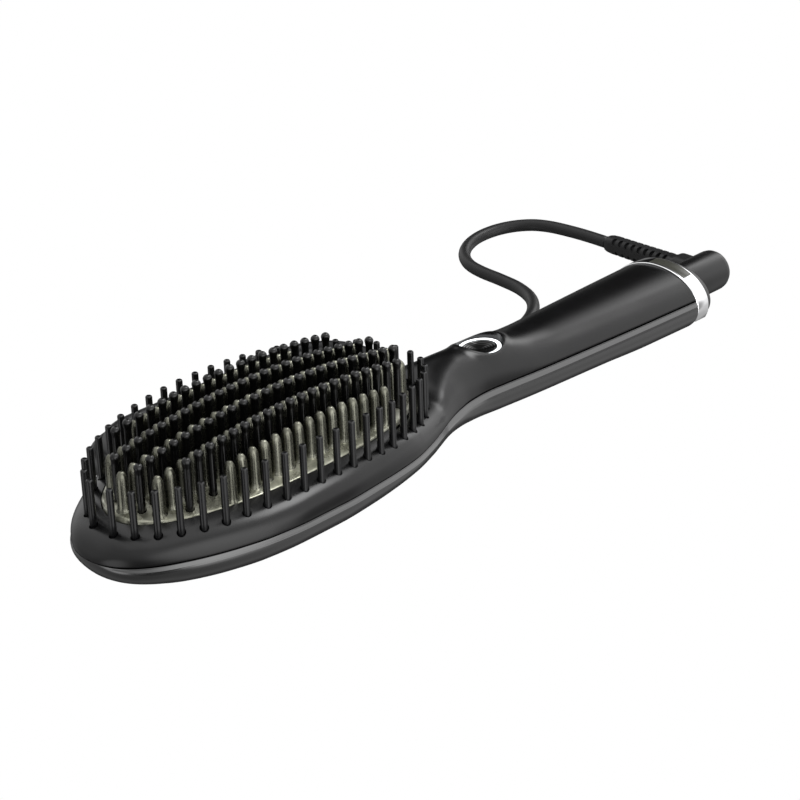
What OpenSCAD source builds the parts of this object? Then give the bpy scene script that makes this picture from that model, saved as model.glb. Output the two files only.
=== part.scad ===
// Heated hair straightener brush with a swivelling mains lead.
// X runs from the head's tip to the tail, bristles point up (+Z), the power lead leaves on the +Y side.
// The origin is the middle of the body's footprint, on the surface that it rests on.

/* [Body] */
// Length from the head's tip to the end of the swivel boss, mm
body_len = 290; // [240:1:320]
// Wall thickness of the two shells, mm
wall = 2.0; // [1.2:0.1:3]
// Widest half width of the head at the seam, mm
head_half_w = 34.7; // [28:0.1:40]
// Half width of the handle at the chrome ring, mm
tail_half_w = 18.0; // [14:0.1:22]
// Height of the handle's top over the resting surface, mm
handle_top = 22.7; // [20:0.5:30]

/* [Bristle field] */
// Diameter of an outer comb pin, mm
pin_d = 2.05; // [1.5:0.05:3]
// Number of outer comb pins round the head
pin_n = 46; // [30:2:60]
// Diameter of the ball on an inner bristle, mm
ball_d = 2.8; // [2:0.1:4]
// Diameter of an inner bristle's shaft, mm
shaft_d = 2.3; // [1.5:0.1:3]
// Distance between neighbours in a row, mm
pitch = 4.36; // [3.5:0.01:6]
// Distance between two neighbouring ball rows, mm
row_gap = 10; // [8:0.1:12]
// Diameter of a heated tooth at its foot, mm
tooth_d = 3.9; // [3:0.1:5]
// Height of a heated tooth over the plate, mm
tooth_h = 10.8; // [8:0.1:14]

/* [Heater plate] */
// Radius of the plate's dome along the head, mm
dome_r_long = 250; // [150:5:400]
// Radius of the plate's dome across the head, mm
dome_r_cross = 80; // [60:1:120]
// Thickness of the plate, mm
plate_t = 1.6; // [1:0.1:3]
// Height of the dome's crown over the resting surface, mm
dome_top = 30.3; // [26:0.1:34]

/* [Button] */
// Centre of the button along the body, from the head's tip, mm
button_x = 161; // [150:1:180]
// Half length of the light ring, mm
ring_a = 8.4; // [6:0.1:12]
// Half width of the light ring, mm
ring_b = 6.8; // [5:0.1:10]
// Travel of the button, mm
button_travel = 0.8; // [0.3:0.1:2]

/* [Swivel and lead] */
// Radius of the swivel boss, mm
boss_r = 7.45; // [6:0.05:10]
// Height of the swivel's axis over the resting surface, mm
axis_z = 11; // [9:0.1:14]
// Length of the strain relief from the boss's axis, mm
relief_len = 46; // [30:1:60]
// Diameter of the mains lead, mm
cord_d = 4.6; // [4:0.1:7]

/* [Hidden] */

x0 = -body_len / 2;
gap = 0.1;

// smooth curve through a table of [x, value]
function seg(t, x, i = 0) = (i >= len(t) - 2 || x < t[i + 1][0]) ? i : seg(t, x, i + 1);
function slope(t, i) = i == 0 ? (t[1][1] - t[0][1]) / (t[1][0] - t[0][0])
    : i == len(t) - 1 ? (t[i][1] - t[i - 1][1]) / (t[i][0] - t[i - 1][0])
    : let (a = (t[i][1] - t[i - 1][1]) / (t[i][0] - t[i - 1][0]), b = (t[i + 1][1] - t[i][1]) / (t[i + 1][0] - t[i][0]))
      a * b <= 0 ? 0 : 2 * a * b / (a + b);
function curve(t, x) = let (i = seg(t, x), h = t[i + 1][0] - t[i][0], s = min(max((x - t[i][0]) / h, 0), 1))
    (2 * s * s * s - 3 * s * s + 1) * t[i][1] + (s * s * s - 2 * s * s + s) * h * slope(t, i)
    + (3 * s * s - 2 * s * s * s) * t[i + 1][1] + (s * s * s - s * s) * h * slope(t, i + 1);
function step01(a, b, x) = let (s = min(max((x - a) / (b - a), 0), 1)) s * s * (3 - 2 * s);

// half width of the seam: stations [square root of the distance from the tip, half width]
w_tab = [[0, 0], [sqrt(1.2), 7.3], [sqrt(5), 13.9], [sqrt(10), 18.9], [sqrt(16), 23.1], [sqrt(22), 26.5], [sqrt(30), 30], [sqrt(40), 33], [sqrt(52), 34.5], [sqrt(66), head_half_w],
    [sqrt(82), 33.2], [sqrt(91), 31.8], [sqrt(101), 29.4], [sqrt(113), 24.6], [sqrt(120), 21.2], [sqrt(128), 17.1], [sqrt(136), 14.1], [sqrt(144), 12.2], [sqrt(152), 11.6], [sqrt(162), 12.3],
    [sqrt(176), 13.6], [sqrt(200), 15.2], [sqrt(228), 16.8], [sqrt(254), tail_half_w]];
function half_w(x) = curve(w_tab, sqrt(max(x, 0)));
function seam_z(x) = x < 126 ? 17.4 - 3.12 * pow((x - 66) / 60, 2) : 14.28;
function deck_z(x) = 24.6 - 3.73 * pow((x - 66) / 60, 2);
// crown of the neck, which bulges round the button, then of the handle
top_tab = [[128, 21], [137, 25.2], [146, 26.2], [158, 26.2], [168, 25.2], [180, handle_top + 0.5], [190, handle_top], [254, handle_top]];
function top_z(x) = let (k = step01(127, 138, x), z = deck_z(min(x, 128)) * (1 - k) + curve(top_tab, max(x, 128)) * k)
    x < 9 ? seam_z(x) + (z - seam_z(x)) * sqrt(max(0, 1 - pow(1 - x / 9, 2))) : z;
belly_tab = [[0, 14.2], [0.5, 12], [1, 10.2], [2, 7], [3, 4.6], [sqrt(18), 2.4], [sqrt(30), 1.2], [sqrt(42), 0.8], [sqrt(54), 0.8], [sqrt(78), 1.2], [sqrt(90), 2.2],
    [sqrt(102), 3.2], [sqrt(114), 3], [sqrt(130), 3.4], [sqrt(146), 2.6], [sqrt(160), 1.7], [sqrt(180), 1.2], [sqrt(210), 0.7], [sqrt(232), -0.2], [sqrt(254), -0.2]];
function belly_z(x) = x <= 0 ? seam_z(0) : min(curve(belly_tab, sqrt(x)), seam_z(x));
function top_p(x) = 8 - 6 * step01(112, 148, x);
function low_p(x) = 1.9 + 0.1 * step01(112, 150, x);
// how far the widest line lies under the seam
function drop(x) = 3.5 * step01(118, 150, x);
function sg(v, p) = sign(v) * pow(abs(v), p);

stations = [0.05, 0.4, 1, 1.8, 3, 4.5, 6.5, 9, 12, 16, 21, 27, 34, 42, 50, 58, 66, 74, 82, 90, 98, 106, 113, 120, 126, 130, 133, 136, 140, 146, 153, 161, 170, 180, 192, 204, 216, 228, 240, 253.7];
arc_n = 18;

// one half of the body as a closed loft; up = 1 is the upper half, in = how far the faces are moved in
function sec_a(x, w) = let (c = seam_z(x) - drop(x), b = top_z(x) - c, t = asin((seam_z(x) - c) / b)) w / pow(cos(t), 2 / top_p(x));
function ring_pts(x, up, in, ext) =
    let (xx = min(max(x, in * 1.02), 254), w = max(half_w(xx) - in, 0.02), s = seam_z(xx), c = s - drop(xx), bu = max(top_z(xx) - in - c, 0.03),
         bl = max(c - belly_z(xx) - in, 0.02), tu = asin(min((s - c) / bu, 0.9)), a = w / pow(cos(tu), 2 / top_p(xx)),
         pl = low_p(xx), pu = top_p(xx))
    up > 0 ? concat([for (i = [0:arc_n]) let (t = tu + (180 - 2 * tu) * i / arc_n) [x0 + x, a * sg(cos(t), 2 / pu), c + bu * sin(t)]],
           [[x0 + x, -w, s - ext], [x0 + x, w, s - ext]])
    : concat([for (i = [0:arc_n]) let (t = 180 * i / arc_n) [x0 + x, a * sg(cos(t), 2 / pl), c - bl * pow(abs(sin(t)) < 1e-9 ? 0 : sin(t), 2 / pl)]],
           [[x0 + x, -w, s + ext], [x0 + x, w, s + ext]]);
module loft(up, in, ext, xs) {
    n = arc_n + 3;
    pts = [for (x = xs) each ring_pts(x, up, in, ext)];
    m = len(xs);
    f = concat([[for (i = [0:n - 1]) i]], [for (j = [0:m - 2]) for (i = [0:n - 1]) for (k = [0, 1]) let (a = j * n + i, b = j * n + (i + 1) % n)
        k == 0 ? [a, a + n, b] : [b, a + n, b + n]], [[for (i = [n - 1:-1:0]) (m - 1) * n + i]]);
    if (up > 0) polyhedron(pts, f, convexity = 6);
    else polyhedron(pts, [for (g = f) [for (i = [len(g) - 1:-1:0]) g[i]]], convexity = 6);
}
in_stations = concat([for (x = stations) if (x >= 3 && x < 250) x], [258]);

// oval of the outer pins: half length 60, half width 30.5 mm, as a function of an angle
oval_x = 66;
function oval(a, in = 0) = [x0 + oval_x + (60 - in) * sg(cos(a), 2 / 2.15), (30.5 - in) * sg(sin(a), 2 / 2.15)];
function oval_len(a, b) = norm(oval(b) - oval(a));
ov_steps = 720;
ov_cum = [for (i = 0, s = 0; i <= ov_steps; s = s + oval_len(i * 360 / ov_steps, (i + 1) * 360 / ov_steps), i = i + 1) s];
function find_a(s, lo = 0, hi = ov_steps) = hi - lo <= 1 ? (lo + (s - ov_cum[lo]) / (ov_cum[hi] - ov_cum[lo])) * 360 / ov_steps
    : let (m = floor((lo + hi) / 2)) ov_cum[m] > s ? find_a(s, lo, m) : find_a(s, m, hi);
pin_xy = [for (i = [0:pin_n - 1]) oval(find_a((i + 0.5) * ov_cum[ov_steps] / pin_n))];
function pin_top(x) = 38.4 - 3.73 * pow((x - x0 - 66) / 60, 2);
module oval_plate(in, h) { linear_extrude(h) polygon([for (a = [0:6:354]) oval(a, in)]); }

// the domed surface of the plate
plate_x = 69.6;
function dome_z(x, y) = dome_top - pow(x - x0 - plate_x, 2) / (2 * dome_r_long) - y * y / (2 * dome_r_cross);
module dome(r_less) {
    translate([x0 + plate_x, 0, dome_top - dome_r_long]) rotate([90, 0, 0])
        rotate_extrude(angle = 180, $fn = 90) translate([dome_r_long - dome_r_cross, 0]) circle(r = dome_r_cross - r_less, $fn = 90);
}
plate_in = 4.4;
col_x = [for (i = [0:23]) x0 + 15.96 + pitch * i];
ball_z = function (x) 43.75 - pow(x - x0 - plate_x, 2) * 0.002;
carrier_z = 15.6;

// the lead's route on the surface, hand set, from the strain relief to the hank
exit_p = [140.4, 46.3, 11];
route = [[140.4, 46.25, 11], [141.2, 57, 10.9], [141.8, 67, 10.5], [142, 76, 9.9], [140.5, 83.5, 9.2], [136.3, 89.8, 8.3], [130, 94, 7.3], [122.5, 95.5, 6.3], [115, 94, 5.3], [108.7, 89.8, 4.4],
    [104.5, 83.5, 3.7], [103, 76, 3.1], [102.4, 66, 2.7], [100.6, 55.5, 2.5], [95.6, 45.6, 2.5], [87.2, 37.8, 2.5], [76.5, 32.6, 2.5], [64, 30, 2.5], [50, 29.6, 2.5], [35, 28.6, 2.5], [20, 26.2, 2.7], [8, 24.3, 2.9],
    [-4.5, 23.7, 3], [-20, 23.7, 3], [-36.5, 23.7, 3], [-43, 24.2, 3]];
// the hank lies close behind the head: three turns side by side on the surface, two on them
hank_c = [-38.5, 51.3];
hank_turn = 0;
hank_l = 68;
hank_in = 11.5;
hank_out = 20.7;
hank_z = 0.7;
// its last stretch, from the inmost turn to the plug, in the hank's own frame
tail = [[27.5, -12.2, 3.5], [22.7, -7.9, 4.6], [16.1, -2.1, 6.4], [7.4, 0, 7.2]];

function unit(v) = v / norm(v);
function cr(p, i, s) = let (a = p[max(i - 1, 0)], b = p[i], c = p[i + 1], d = p[min(i + 2, len(p) - 1)])
    0.5 * (2 * b + (c - a) * s + (2 * a - 5 * b + 4 * c - d) * s * s + (3 * b - a - 3 * c + d) * s * s * s);
module tube(p, d, sides, sub) {
    c = [for (i = [0:len(p) - 2]) for (s = [0:sub - 1]) cr(p, i, s / sub), p[len(p) - 1]];
    m = len(c);
    pts = [for (i = [0:m - 1]) let (t = unit(c[min(i + 1, m - 1)] - c[max(i - 1, 0)]), u = unit(cross(t, [0, 0, 1])), v = cross(u, t))
        for (k = [0:sides - 1]) c[i] + d / 2 * (cos(360 * k / sides) * u + sin(360 * k / sides) * v)];
    polyhedron(pts, concat([[for (k = [sides - 1:-1:0]) k]],
        [for (i = [0:m - 2]) for (k = [0:sides - 1]) let (a = i * sides + k, b = i * sides + (k + 1) % sides) each [[a, b, a + sides], [b, b + sides, a + sides]]],
        [[for (k = [0:sides - 1]) (m - 1) * sides + k]]), convexity = 8);
}
module stadium(l, r) { square([l, 2 * r], center = true); translate([l / 2, 0]) circle(r, $fn = 48); translate([-l / 2, 0]) circle(r, $fn = 48); }
module ellipse(a, b) { scale([a, b]) circle(1, $fn = 48); }
button_c = [x0 + button_x, 0, 22.2];
module at_button(z = 0) { translate(button_c + [0, 0, z]) children(); }

// screw places along the underside, [x, y]
function screw_z(x) = max(belly_z(x - x0), 0) + 0.5;
screw_xy = [[x0 + 30, 0], [x0 + 102, 0], [x0 + 190, 0], [x0 + 240, 0]];

module upper_shell() {
    color("#1c1c1e") difference() {
        union() {
            difference() { loft(1, 0, 0, stations); loft(1, wall, 1, in_stations); }
            for (s = [screw_xy[2], screw_xy[3]]) translate([s[0], s[1], 10.1]) cylinder(d = 6, h = 11.4, $fn = 24);
        }
        for (s = [screw_xy[2], screw_xy[3]]) translate([s[0], s[1], 9]) cylinder(d = 2.3, h = 9.2, $fn = 24);
        // opening for the heater plate
        translate([0, 0, 10]) oval_plate(plate_in - 0.3, 30);
        // holes of the outer pins
        for (p = pin_xy) translate([p[0], p[1], 12]) cylinder(d = pin_d + 0.3, h = 16, $fn = 10);
        // button recess and its well
        at_button(-8) linear_extrude(20) ellipse(ring_a + 0.25, ring_b + 0.25);
    }
}
module lower_shell() {
    color("#141416") difference() {
        union() {
            difference() {
                translate([0, 0, -gap]) loft(-1, 0, 0, stations);
                translate([0, 0, -gap]) loft(-1, wall, 1, in_stations);
                translate([x0 - 10, -60, -10]) cube([300, 120, 10]);
            }
            for (s = screw_xy) translate([s[0], s[1], screw_z(s[0]) + 0.4]) cylinder(d = 6.6, h = 9.6 - screw_z(s[0]), $fn = 24);
        }
        for (s = screw_xy) translate([s[0], s[1], screw_z(s[0])]) { translate([0, 0, -4]) cylinder(d = 4.6, h = 5.7, $fn = 24); cylinder(d = 2.3, h = 20, $fn = 24); }
    }
}
module heater_plate() {
    color("#4a4d40") difference() {
        intersection() {
            translate([0, 0, 12]) linear_extrude(30) polygon([for (a = [0:6:354]) oval(a, plate_in)]);
            difference() { dome(0); dome(plate_t); }
        }
        for (r = [0:3]) let (y = (r - 1.5) * row_gap) for (i = (r == 0 || r == 3) ? [2:21] : [0:23])
            translate([col_x[i], y, 10]) cylinder(d = shaft_d + 0.3, h = 30, $fn = 16);
    }
}
module tooth(x, y) {
    z = dome_z(x, y) - 0.05;
    translate([x, y, z]) { cylinder(d1 = tooth_d, d2 = tooth_d * 0.80, h = tooth_h - tooth_d * 0.40, $fn = 24); translate([0, 0, tooth_h - tooth_d * 0.40]) sphere(d = tooth_d * 0.80, $fn = 24); }
}
module heated_teeth() {
    color("#6a6d5c") {
        for (i = [-1:23]) tooth(x0 + 15.96 + pitch * (i + 0.5), 0);
        for (y = [-row_gap, row_gap]) for (i = [0:22]) tooth(x0 + 15.96 + pitch * (i + 0.5), y);
        for (y = [-2 * row_gap, 2 * row_gap]) for (i = [4:18]) tooth(x0 + 15.96 + pitch * (i + 0.5), y);
    }
}
module bristle_row(r) {
    y = (r - 1.5) * row_gap;
    color("#0d0d0f") {
        for (i = (r == 0 || r == 3) ? [2:21] : [0:23]) translate([col_x[i], y, carrier_z + 2]) {
            cylinder(d = shaft_d, h = ball_z(col_x[i]) - carrier_z - 2, $fn = 16);
            translate([0, 0, ball_z(col_x[i]) - carrier_z - 2]) sphere(d = ball_d, $fn = 20);
        }
    }
}
module bristle_carrier() {
    color("#2a2a2c") translate([0, 0, carrier_z]) difference() {
        union() { oval_plate(7.6, 2); for (s = [screw_xy[0], screw_xy[1]]) translate([s[0], s[1], 10.1 - carrier_z]) cylinder(d = 6, h = carrier_z - 10, $fn = 24); }
        for (s = screw_xy) translate([s[0], s[1], -8]) cylinder(d = 2.3, h = 12, $fn = 24);
    }
}
module outer_bristles() {
    color("#232326") for (p = pin_xy) translate([p[0], p[1], carrier_z + 1.6]) {
        cylinder(d = pin_d, h = pin_top(p[0]) - carrier_z - 1.6 - pin_d / 2, $fn = 16);
        translate([0, 0, pin_top(p[0]) - carrier_z - 1.6 - pin_d / 2]) sphere(d = pin_d, $fn = 16);
    }
}
module outer_bristle_strip() {
    color("#232326") translate([0, 0, carrier_z]) difference() { oval_plate(-1.25, 1.6); translate([0, 0, -1]) oval_plate(1.5, 4); }
}
module heater_element(y) {
    color("#d8d4c8") translate([x0 + plate_x - 28, y - 3, 24]) cube([56, 6, 1.3]);
    // clamp pads between the element and the plate
    color("#b9bcc2") for (x = [-22, -7, 8]) translate([x0 + plate_x + x, y - 2.4, 25.3]) cube([14, 4.8, x == -7 ? 2.2 : 1.35]);
}
module heater_element_1() { heater_element(-row_gap); }
module heater_element_2() { heater_element(row_gap); }
module thermistor() { color("#c9a06a") translate([x0 + 44, 0, 26.1]) { sphere(d = 2.4, $fn = 24); rotate([0, 90, 0]) cylinder(d = 1.2, h = 14, $fn = 16); } }
module thermal_fuse() { color("#c8cbd0") translate([x0 + 74, 0, 26.1]) rotate([0, 90, 0]) { cylinder(d = 4, h = 11, $fn = 24); translate([0, 0, -8]) cylinder(d = 1, h = 27, $fn = 12); } }
module wire(a, b, d) { v = b - a; l = norm(v); translate(a) rotate([0, acos(v[2] / l), atan2(v[1], v[0])]) cylinder(d = d, h = l, $fn = 12); translate(b) sphere(d = d, $fn = 12); }
module lead(sy) {
    p = [[98, 10, 24.6], [112, 8.9, 19.3], [121, 7.2, 18], [125, 6.25, 17.85], [131, 6.2, 17.85], [150, 5, 15.62]];
    for (i = [0:4]) wire([x0 + p[i][0], sy * p[i][1], p[i][2]], [x0 + p[i + 1][0], sy * p[i + 1][1], p[i + 1][2]], 1.2);
}
module heater_wires() { color("#a02a22") lead(-1); color("#22356a") lead(1); }
module control_board() {
    color("#1d4a2c") translate([x0 + 148, -8.5, 13.4]) difference() {
        cube([86, 17, 1.6]);
        translate([screw_xy[2][0] - x0 - 148, screw_xy[2][1] + 8.5, -5]) cylinder(d = 6.8, h = 12, $fn = 24);
    }
    color("#20202a") { translate([x0 + 176, -5, 15]) cube([8, 9, 2.4]); translate([x0 + 200, -4, 15]) cube([14, 8, 3.6]); translate([x0 + 220, -6, 15]) cube([9, 12, 4.2]); }
}
module tact_switch() {
    color("#3a3a40") at_button(0) translate([0, 0, 15.02 - 22.2]) { translate([-3, -3, 0]) cube([6, 6, 3.2]); cylinder(d = 3.4, h = 3.7, $fn = 24); }
}
module light_ring() {
    color("#f4f8ff") at_button(-2.6) difference() {
        linear_extrude(3.2) ellipse(ring_a, ring_b);
        translate([0, 0, -1]) linear_extrude(6) ellipse(ring_a - 1.6, ring_b - 1.1);
    }
}
module power_button() {
    color("#0b0b0d") at_button(0) difference() {
        union() { translate([0, 0, -2.2]) linear_extrude(3.0) ellipse(ring_a - 1.95, ring_b - 1.45); translate([0, 0, 19.6 - 22.2]) cylinder(d = 4.4, h = 1.2, $fn = 24); }
        translate([0, 0, 26.0]) sphere(r = 25.6, $fn = 60);
    }
}
module end_ring() {
    color("#d9dbde") intersection() {
        translate([x0 + 253.8, 0, 0]) rotate([90, 0, 90]) difference() {
            translate([0, 10.8]) linear_extrude(6.4) scale([18.6, 12.5]) circle(1, $fn = 96);
            translate([0, 10.8, -1]) linear_extrude(9) scale([16.2, 10.2]) circle(1, $fn = 96);
        }
        translate([x0 + 250, -30, 5.5]) cube([20, 60, 40]);
    }
}
module ring_badge() {
    color("#15151a") translate([x0 + 255, 0, 0]) rotate([90, 0, 90]) intersection() {
        difference() {
            translate([0, 10.8]) linear_extrude(4) scale([18.9, 12.8]) circle(1, $fn = 96);
            translate([0, 10.8, -1]) linear_extrude(6) scale([18.62, 12.52]) circle(1, $fn = 96);
        }
        translate([-13.5, 18, 0]) cube([27, 12, 4]);
    }
}
module end_cap() {
    color("#161618") translate([x0, 0, 0]) difference() {
        union() {
            translate([260.4, 0, 10.9]) rotate([90, 0, 90]) linear_extrude(5.6) scale([16.6, 10.8]) circle(1, $fn = 72);
            translate([251, 0, 10.9]) rotate([90, 0, 90]) linear_extrude(9.6) scale([14.6, 9.2]) circle(1, $fn = 72);
        }
        translate([248, 0, axis_z]) rotate([0, 90, 0]) cylinder(r = 5.05, h = 22, $fn = 48);
        // pocket for the retaining flange
        translate([250, 0, axis_z]) rotate([0, 90, 0]) cylinder(r = 8, h = 8.4, $fn = 48);
    }
}
module contact_fingers() {
    color("#c9a14a") translate([x0, 0, 0]) { for (y = [-4.8, 3.6]) { translate([232.4, y, 15.02]) cube([11.2, 1.2, 1.2]); translate([242.4, y, 11]) cube([1.2, 1.2, 4.1]); } }
}
module swivel_boss() {
    color("#101012") translate([x0, 0, axis_z]) rotate([0, 90, 0]) {
        difference() {
            union() {
                translate([0, 0, 266.4]) cylinder(r = boss_r, h = 20.6, $fn = 72);
                translate([0, 0, 287]) cylinder(r1 = boss_r, r2 = boss_r - 1.6, h = 3, $fn = 72);
                translate([0, 0, 254.9]) cylinder(r = 5, h = 11.6, $fn = 48);
            }
            translate([0, 0, 250]) cylinder(r = 2.6, h = 32, $fn = 32);
        }
    }
}
module retaining_flange() {
    color("#9fa3a8") translate([x0 + 255.4, 0, axis_z]) rotate([0, 90, 0]) difference() { cylinder(r = 7.4, h = 2.4, $fn = 48); translate([0, 0, -1]) cylinder(r = 5.02, h = 6, $fn = 48); }
}
module slip_rings() {
    color("#c9a14a") translate([x0 + 244, 0, axis_z]) rotate([0, 90, 0]) { cylinder(r = 2.5, h = 11.5, $fn = 32); cylinder(r = 6, h = 1.4, $fn = 40); translate([0, 0, 4]) cylinder(r = 4.4, h = 1.4, $fn = 40); }
}
module strain_relief() {
    // leaves the boss square to its axis, leaning a little towards the tail
    color("#0e0e10") difference() {
        translate([x0 + 282.2, 0, axis_z]) rotate([0, 0, -4.2]) rotate([-90, 0, 0]) difference() {
            union() {
                cylinder(r = 4.6, h = 12, $fn = 40);
                translate([0, 0, 12]) cylinder(r1 = 4.1, r2 = 3.2, h = relief_len - 12, $fn = 40);
            }
            for (i = [0:8]) for (s = [0, 180]) rotate([0, 0, s + (i % 2) * 90]) translate([1.9, -3.2, 15 + i * 3.1]) cube([4, 6.4, 1.5]);
        }
        // seat on the round boss
        translate([x0 + 262, 0, axis_z]) rotate([0, 90, 0]) cylinder(r = boss_r + 0.03, h = 36, $fn = 72);
    }
}
module case_screws() {
    color("#8f949a") for (s = screw_xy) translate([s[0], s[1], screw_z(s[0])]) { difference() { cylinder(d = 4.2, h = 1.6, $fn = 24); translate([-1.6, -0.3, -0.1]) cube([3.2, 0.6, 0.9]); translate([-0.3, -1.6, -0.1]) cube([0.6, 3.2, 0.9]); } cylinder(d = 2.2, h = 17 - screw_z(s[0]), $fn = 24); }
}
module cord_tube() { color("#0c0c0e") tube(route, cord_d, 10, 2); }
module at_hank() { translate([hank_c[0], hank_c[1], 0]) rotate([0, 0, hank_turn]) children(); }
module cord_hank() {
    color("#0c0c0e") at_hank() translate([0, 0, hank_z]) {
        linear_extrude(cord_d) difference() { stadium(hank_l, hank_out + cord_d); stadium(hank_l, hank_in); }
        linear_extrude(2 * cord_d) difference() { stadium(hank_l, hank_out); stadium(hank_l, hank_in); }
    }
}
module cord_tail() { color("#0c0c0e") at_hank() tube(tail, cord_d, 10, 4); }
module tie_section() { polygon([[-30.1, 0.62], [25.4, 0.62], [25.4, 5.4], [20.8, 10], [-20.8, 10], [-30.1, 5.4]]); }
module hank_tie() {
    color("#1a1a1c") at_hank() translate([22, 0, 0]) rotate([90, 0, 90]) translate([0, 0, -4]) linear_extrude(8) difference() { offset(delta = 0.6) tie_section(); tie_section(); }
}
module at_plug() { at_hank() translate([7.4, 0, 7.2]) rotate([0, 0, 180]) children(); }
module power_plug() {
    color("#0c0c0e") at_plug() {
        difference() { translate([8, -10.6, -6.6]) cube([22, 21.2, 13.2]); for (s = [-1, 1]) translate([12, s * 11.6, -8]) cylinder(r = 2.2, h = 16, $fn = 32); }
        rotate([0, 90, 0]) cylinder(r1 = 3.2, r2 = 5.6, h = 8.2, $fn = 40);
    }
}
module plug_blades() { color("#c9b06a") at_plug() for (s = [-1, 1]) translate([30, s * 6.35 - 0.75, -3.2]) difference() { cube([17, 1.5, 6.4]); translate([13.5, -1, 3.2]) rotate([-90, 0, 0]) cylinder(d = 3, h = 4, $fn = 24); } }

upper_shell();
lower_shell();
heater_plate();
heated_teeth();
bristle_row(0);  // bristle_row_1
bristle_row(1);  // bristle_row_2
bristle_row(2);  // bristle_row_3
bristle_row(3);  // bristle_row_4
bristle_carrier();
outer_bristles();
outer_bristle_strip();
heater_element_1();
heater_element_2();
thermistor();
thermal_fuse();
heater_wires();
control_board();
tact_switch();
light_ring();
power_button();
end_ring();
ring_badge();
end_cap();
contact_fingers();
swivel_boss();
retaining_flange();
slip_rings();
strain_relief();
case_screws();
cord_tube();
cord_hank();
cord_tail();
hank_tie();
power_plug();
plug_blades();
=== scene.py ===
import bpy, bmesh, math
from mathutils import Vector, Matrix
from mathutils.bvhtree import BVHTree

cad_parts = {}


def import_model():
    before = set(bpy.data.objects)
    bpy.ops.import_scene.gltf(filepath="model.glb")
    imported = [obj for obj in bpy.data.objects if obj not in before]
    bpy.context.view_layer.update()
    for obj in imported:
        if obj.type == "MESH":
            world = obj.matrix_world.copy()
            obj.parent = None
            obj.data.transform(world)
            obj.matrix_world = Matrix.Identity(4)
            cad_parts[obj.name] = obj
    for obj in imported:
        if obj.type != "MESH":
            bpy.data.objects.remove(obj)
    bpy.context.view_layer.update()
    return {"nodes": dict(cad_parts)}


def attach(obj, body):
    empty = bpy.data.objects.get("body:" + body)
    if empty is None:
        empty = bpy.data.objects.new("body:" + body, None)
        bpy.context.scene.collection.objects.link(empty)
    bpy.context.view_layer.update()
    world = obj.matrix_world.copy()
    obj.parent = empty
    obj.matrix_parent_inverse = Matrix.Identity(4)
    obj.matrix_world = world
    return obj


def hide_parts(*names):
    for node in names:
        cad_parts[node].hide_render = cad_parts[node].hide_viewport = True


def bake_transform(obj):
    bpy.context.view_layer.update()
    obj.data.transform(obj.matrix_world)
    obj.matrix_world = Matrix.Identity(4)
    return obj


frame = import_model()
MM = 0.001
X0 = -145.0  # x in this file's tables runs from the head's tip, in mm
pi = math.pi


# ---------------------------------------------------------------- camera
def make_camera():
    az, el, ro = (math.radians(v) for v in (-45.796, 25.041, -1.754))
    back = Vector((math.sin(az) * math.cos(el), -math.cos(az) * math.cos(el), math.sin(el)))
    right = Vector((math.cos(az), math.sin(az), 0))
    up = back.cross(right)
    c, s = math.cos(ro), math.sin(ro)
    r2, u2 = c * right + s * up, -s * right + c * up
    data = bpy.data.cameras.new("camera")
    data.sensor_width = 36
    data.lens = 95.957
    data.clip_start, data.clip_end = 0.02, 60
    cam = bpy.data.objects.new("camera", data)
    bpy.context.scene.collection.objects.link(cam)
    m = Matrix.Identity(4)
    for i in range(3):
        m[i][0], m[i][1], m[i][2] = r2[i], u2[i], back[i]
    m[0][3], m[1][3], m[2][3] = -0.45064, -0.41779, 0.29770
    cam.matrix_world = m
    bpy.context.scene.camera = cam


make_camera()


# ---------------------------------------------------------------- small tools
def add_mesh(name, verts, faces, mat=None, smooth=True, scale=MM):
    me = bpy.data.meshes.new(name)
    me.from_pydata([tuple(c * scale for c in v) for v in verts], [], faces)
    me.validate()
    me.update()
    ob = bpy.data.objects.new(name, me)
    bpy.context.scene.collection.objects.link(ob)
    if smooth:
        me.polygons.foreach_set("use_smooth", [True] * len(me.polygons))
    if mat:
        me.materials.append(getattr(mat, "m", mat))
    return ob


def fix_normals(ob):
    bm = bmesh.new()
    bm.from_mesh(ob.data)
    bmesh.ops.recalc_face_normals(bm, faces=bm.faces)
    bm.to_mesh(ob.data)
    bm.free()
    return ob


def sharp(ob, deg=35):
    """Smooth shading, with edges sharper than deg kept sharp."""
    me = ob.data
    me.polygons.foreach_set("use_smooth", [True] * len(me.polygons))
    bm = bmesh.new()
    bm.from_mesh(me)
    lim = math.radians(deg)
    for e in bm.edges:
        e.smooth = not (len(e.link_faces) == 2 and e.calc_face_angle(0) > lim)
    bm.to_mesh(me)
    bm.free()
    return ob


def boolean(ob, cutters, op="DIFFERENCE"):
    for cu in cutters:
        m = ob.modifiers.new("cut", "BOOLEAN")
        m.object, m.operation, m.solver = cu, op, "EXACT"
    bpy.context.view_layer.update()
    dg = bpy.context.evaluated_depsgraph_get()
    me = bpy.data.meshes.new_from_object(ob.evaluated_get(dg))
    ob.modifiers.clear()
    old = ob.data
    ob.data = me
    bpy.data.meshes.remove(old)
    for cu in cutters:
        d = cu.data
        bpy.data.objects.remove(cu)
        bpy.data.meshes.remove(d)
    return ob


def rings(name, loops, mat=None, closed=True, caps=True):
    """A mesh through a list of loops that have the same number of points."""
    n = len(loops[0])
    v = [p for lp in loops for p in lp]
    f = []
    for j in range(len(loops) - 1):
        for i in range(n if closed else n - 1):
            a, b = j * n + i, j * n + (i + 1) % n
            f.append((a, b, b + n, a + n))
    if caps:
        f.append(tuple(range(n - 1, -1, -1)))
        f.append(tuple((len(loops) - 1) * n + i for i in range(n)))
    return add_mesh(name, v, f, mat)


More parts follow.
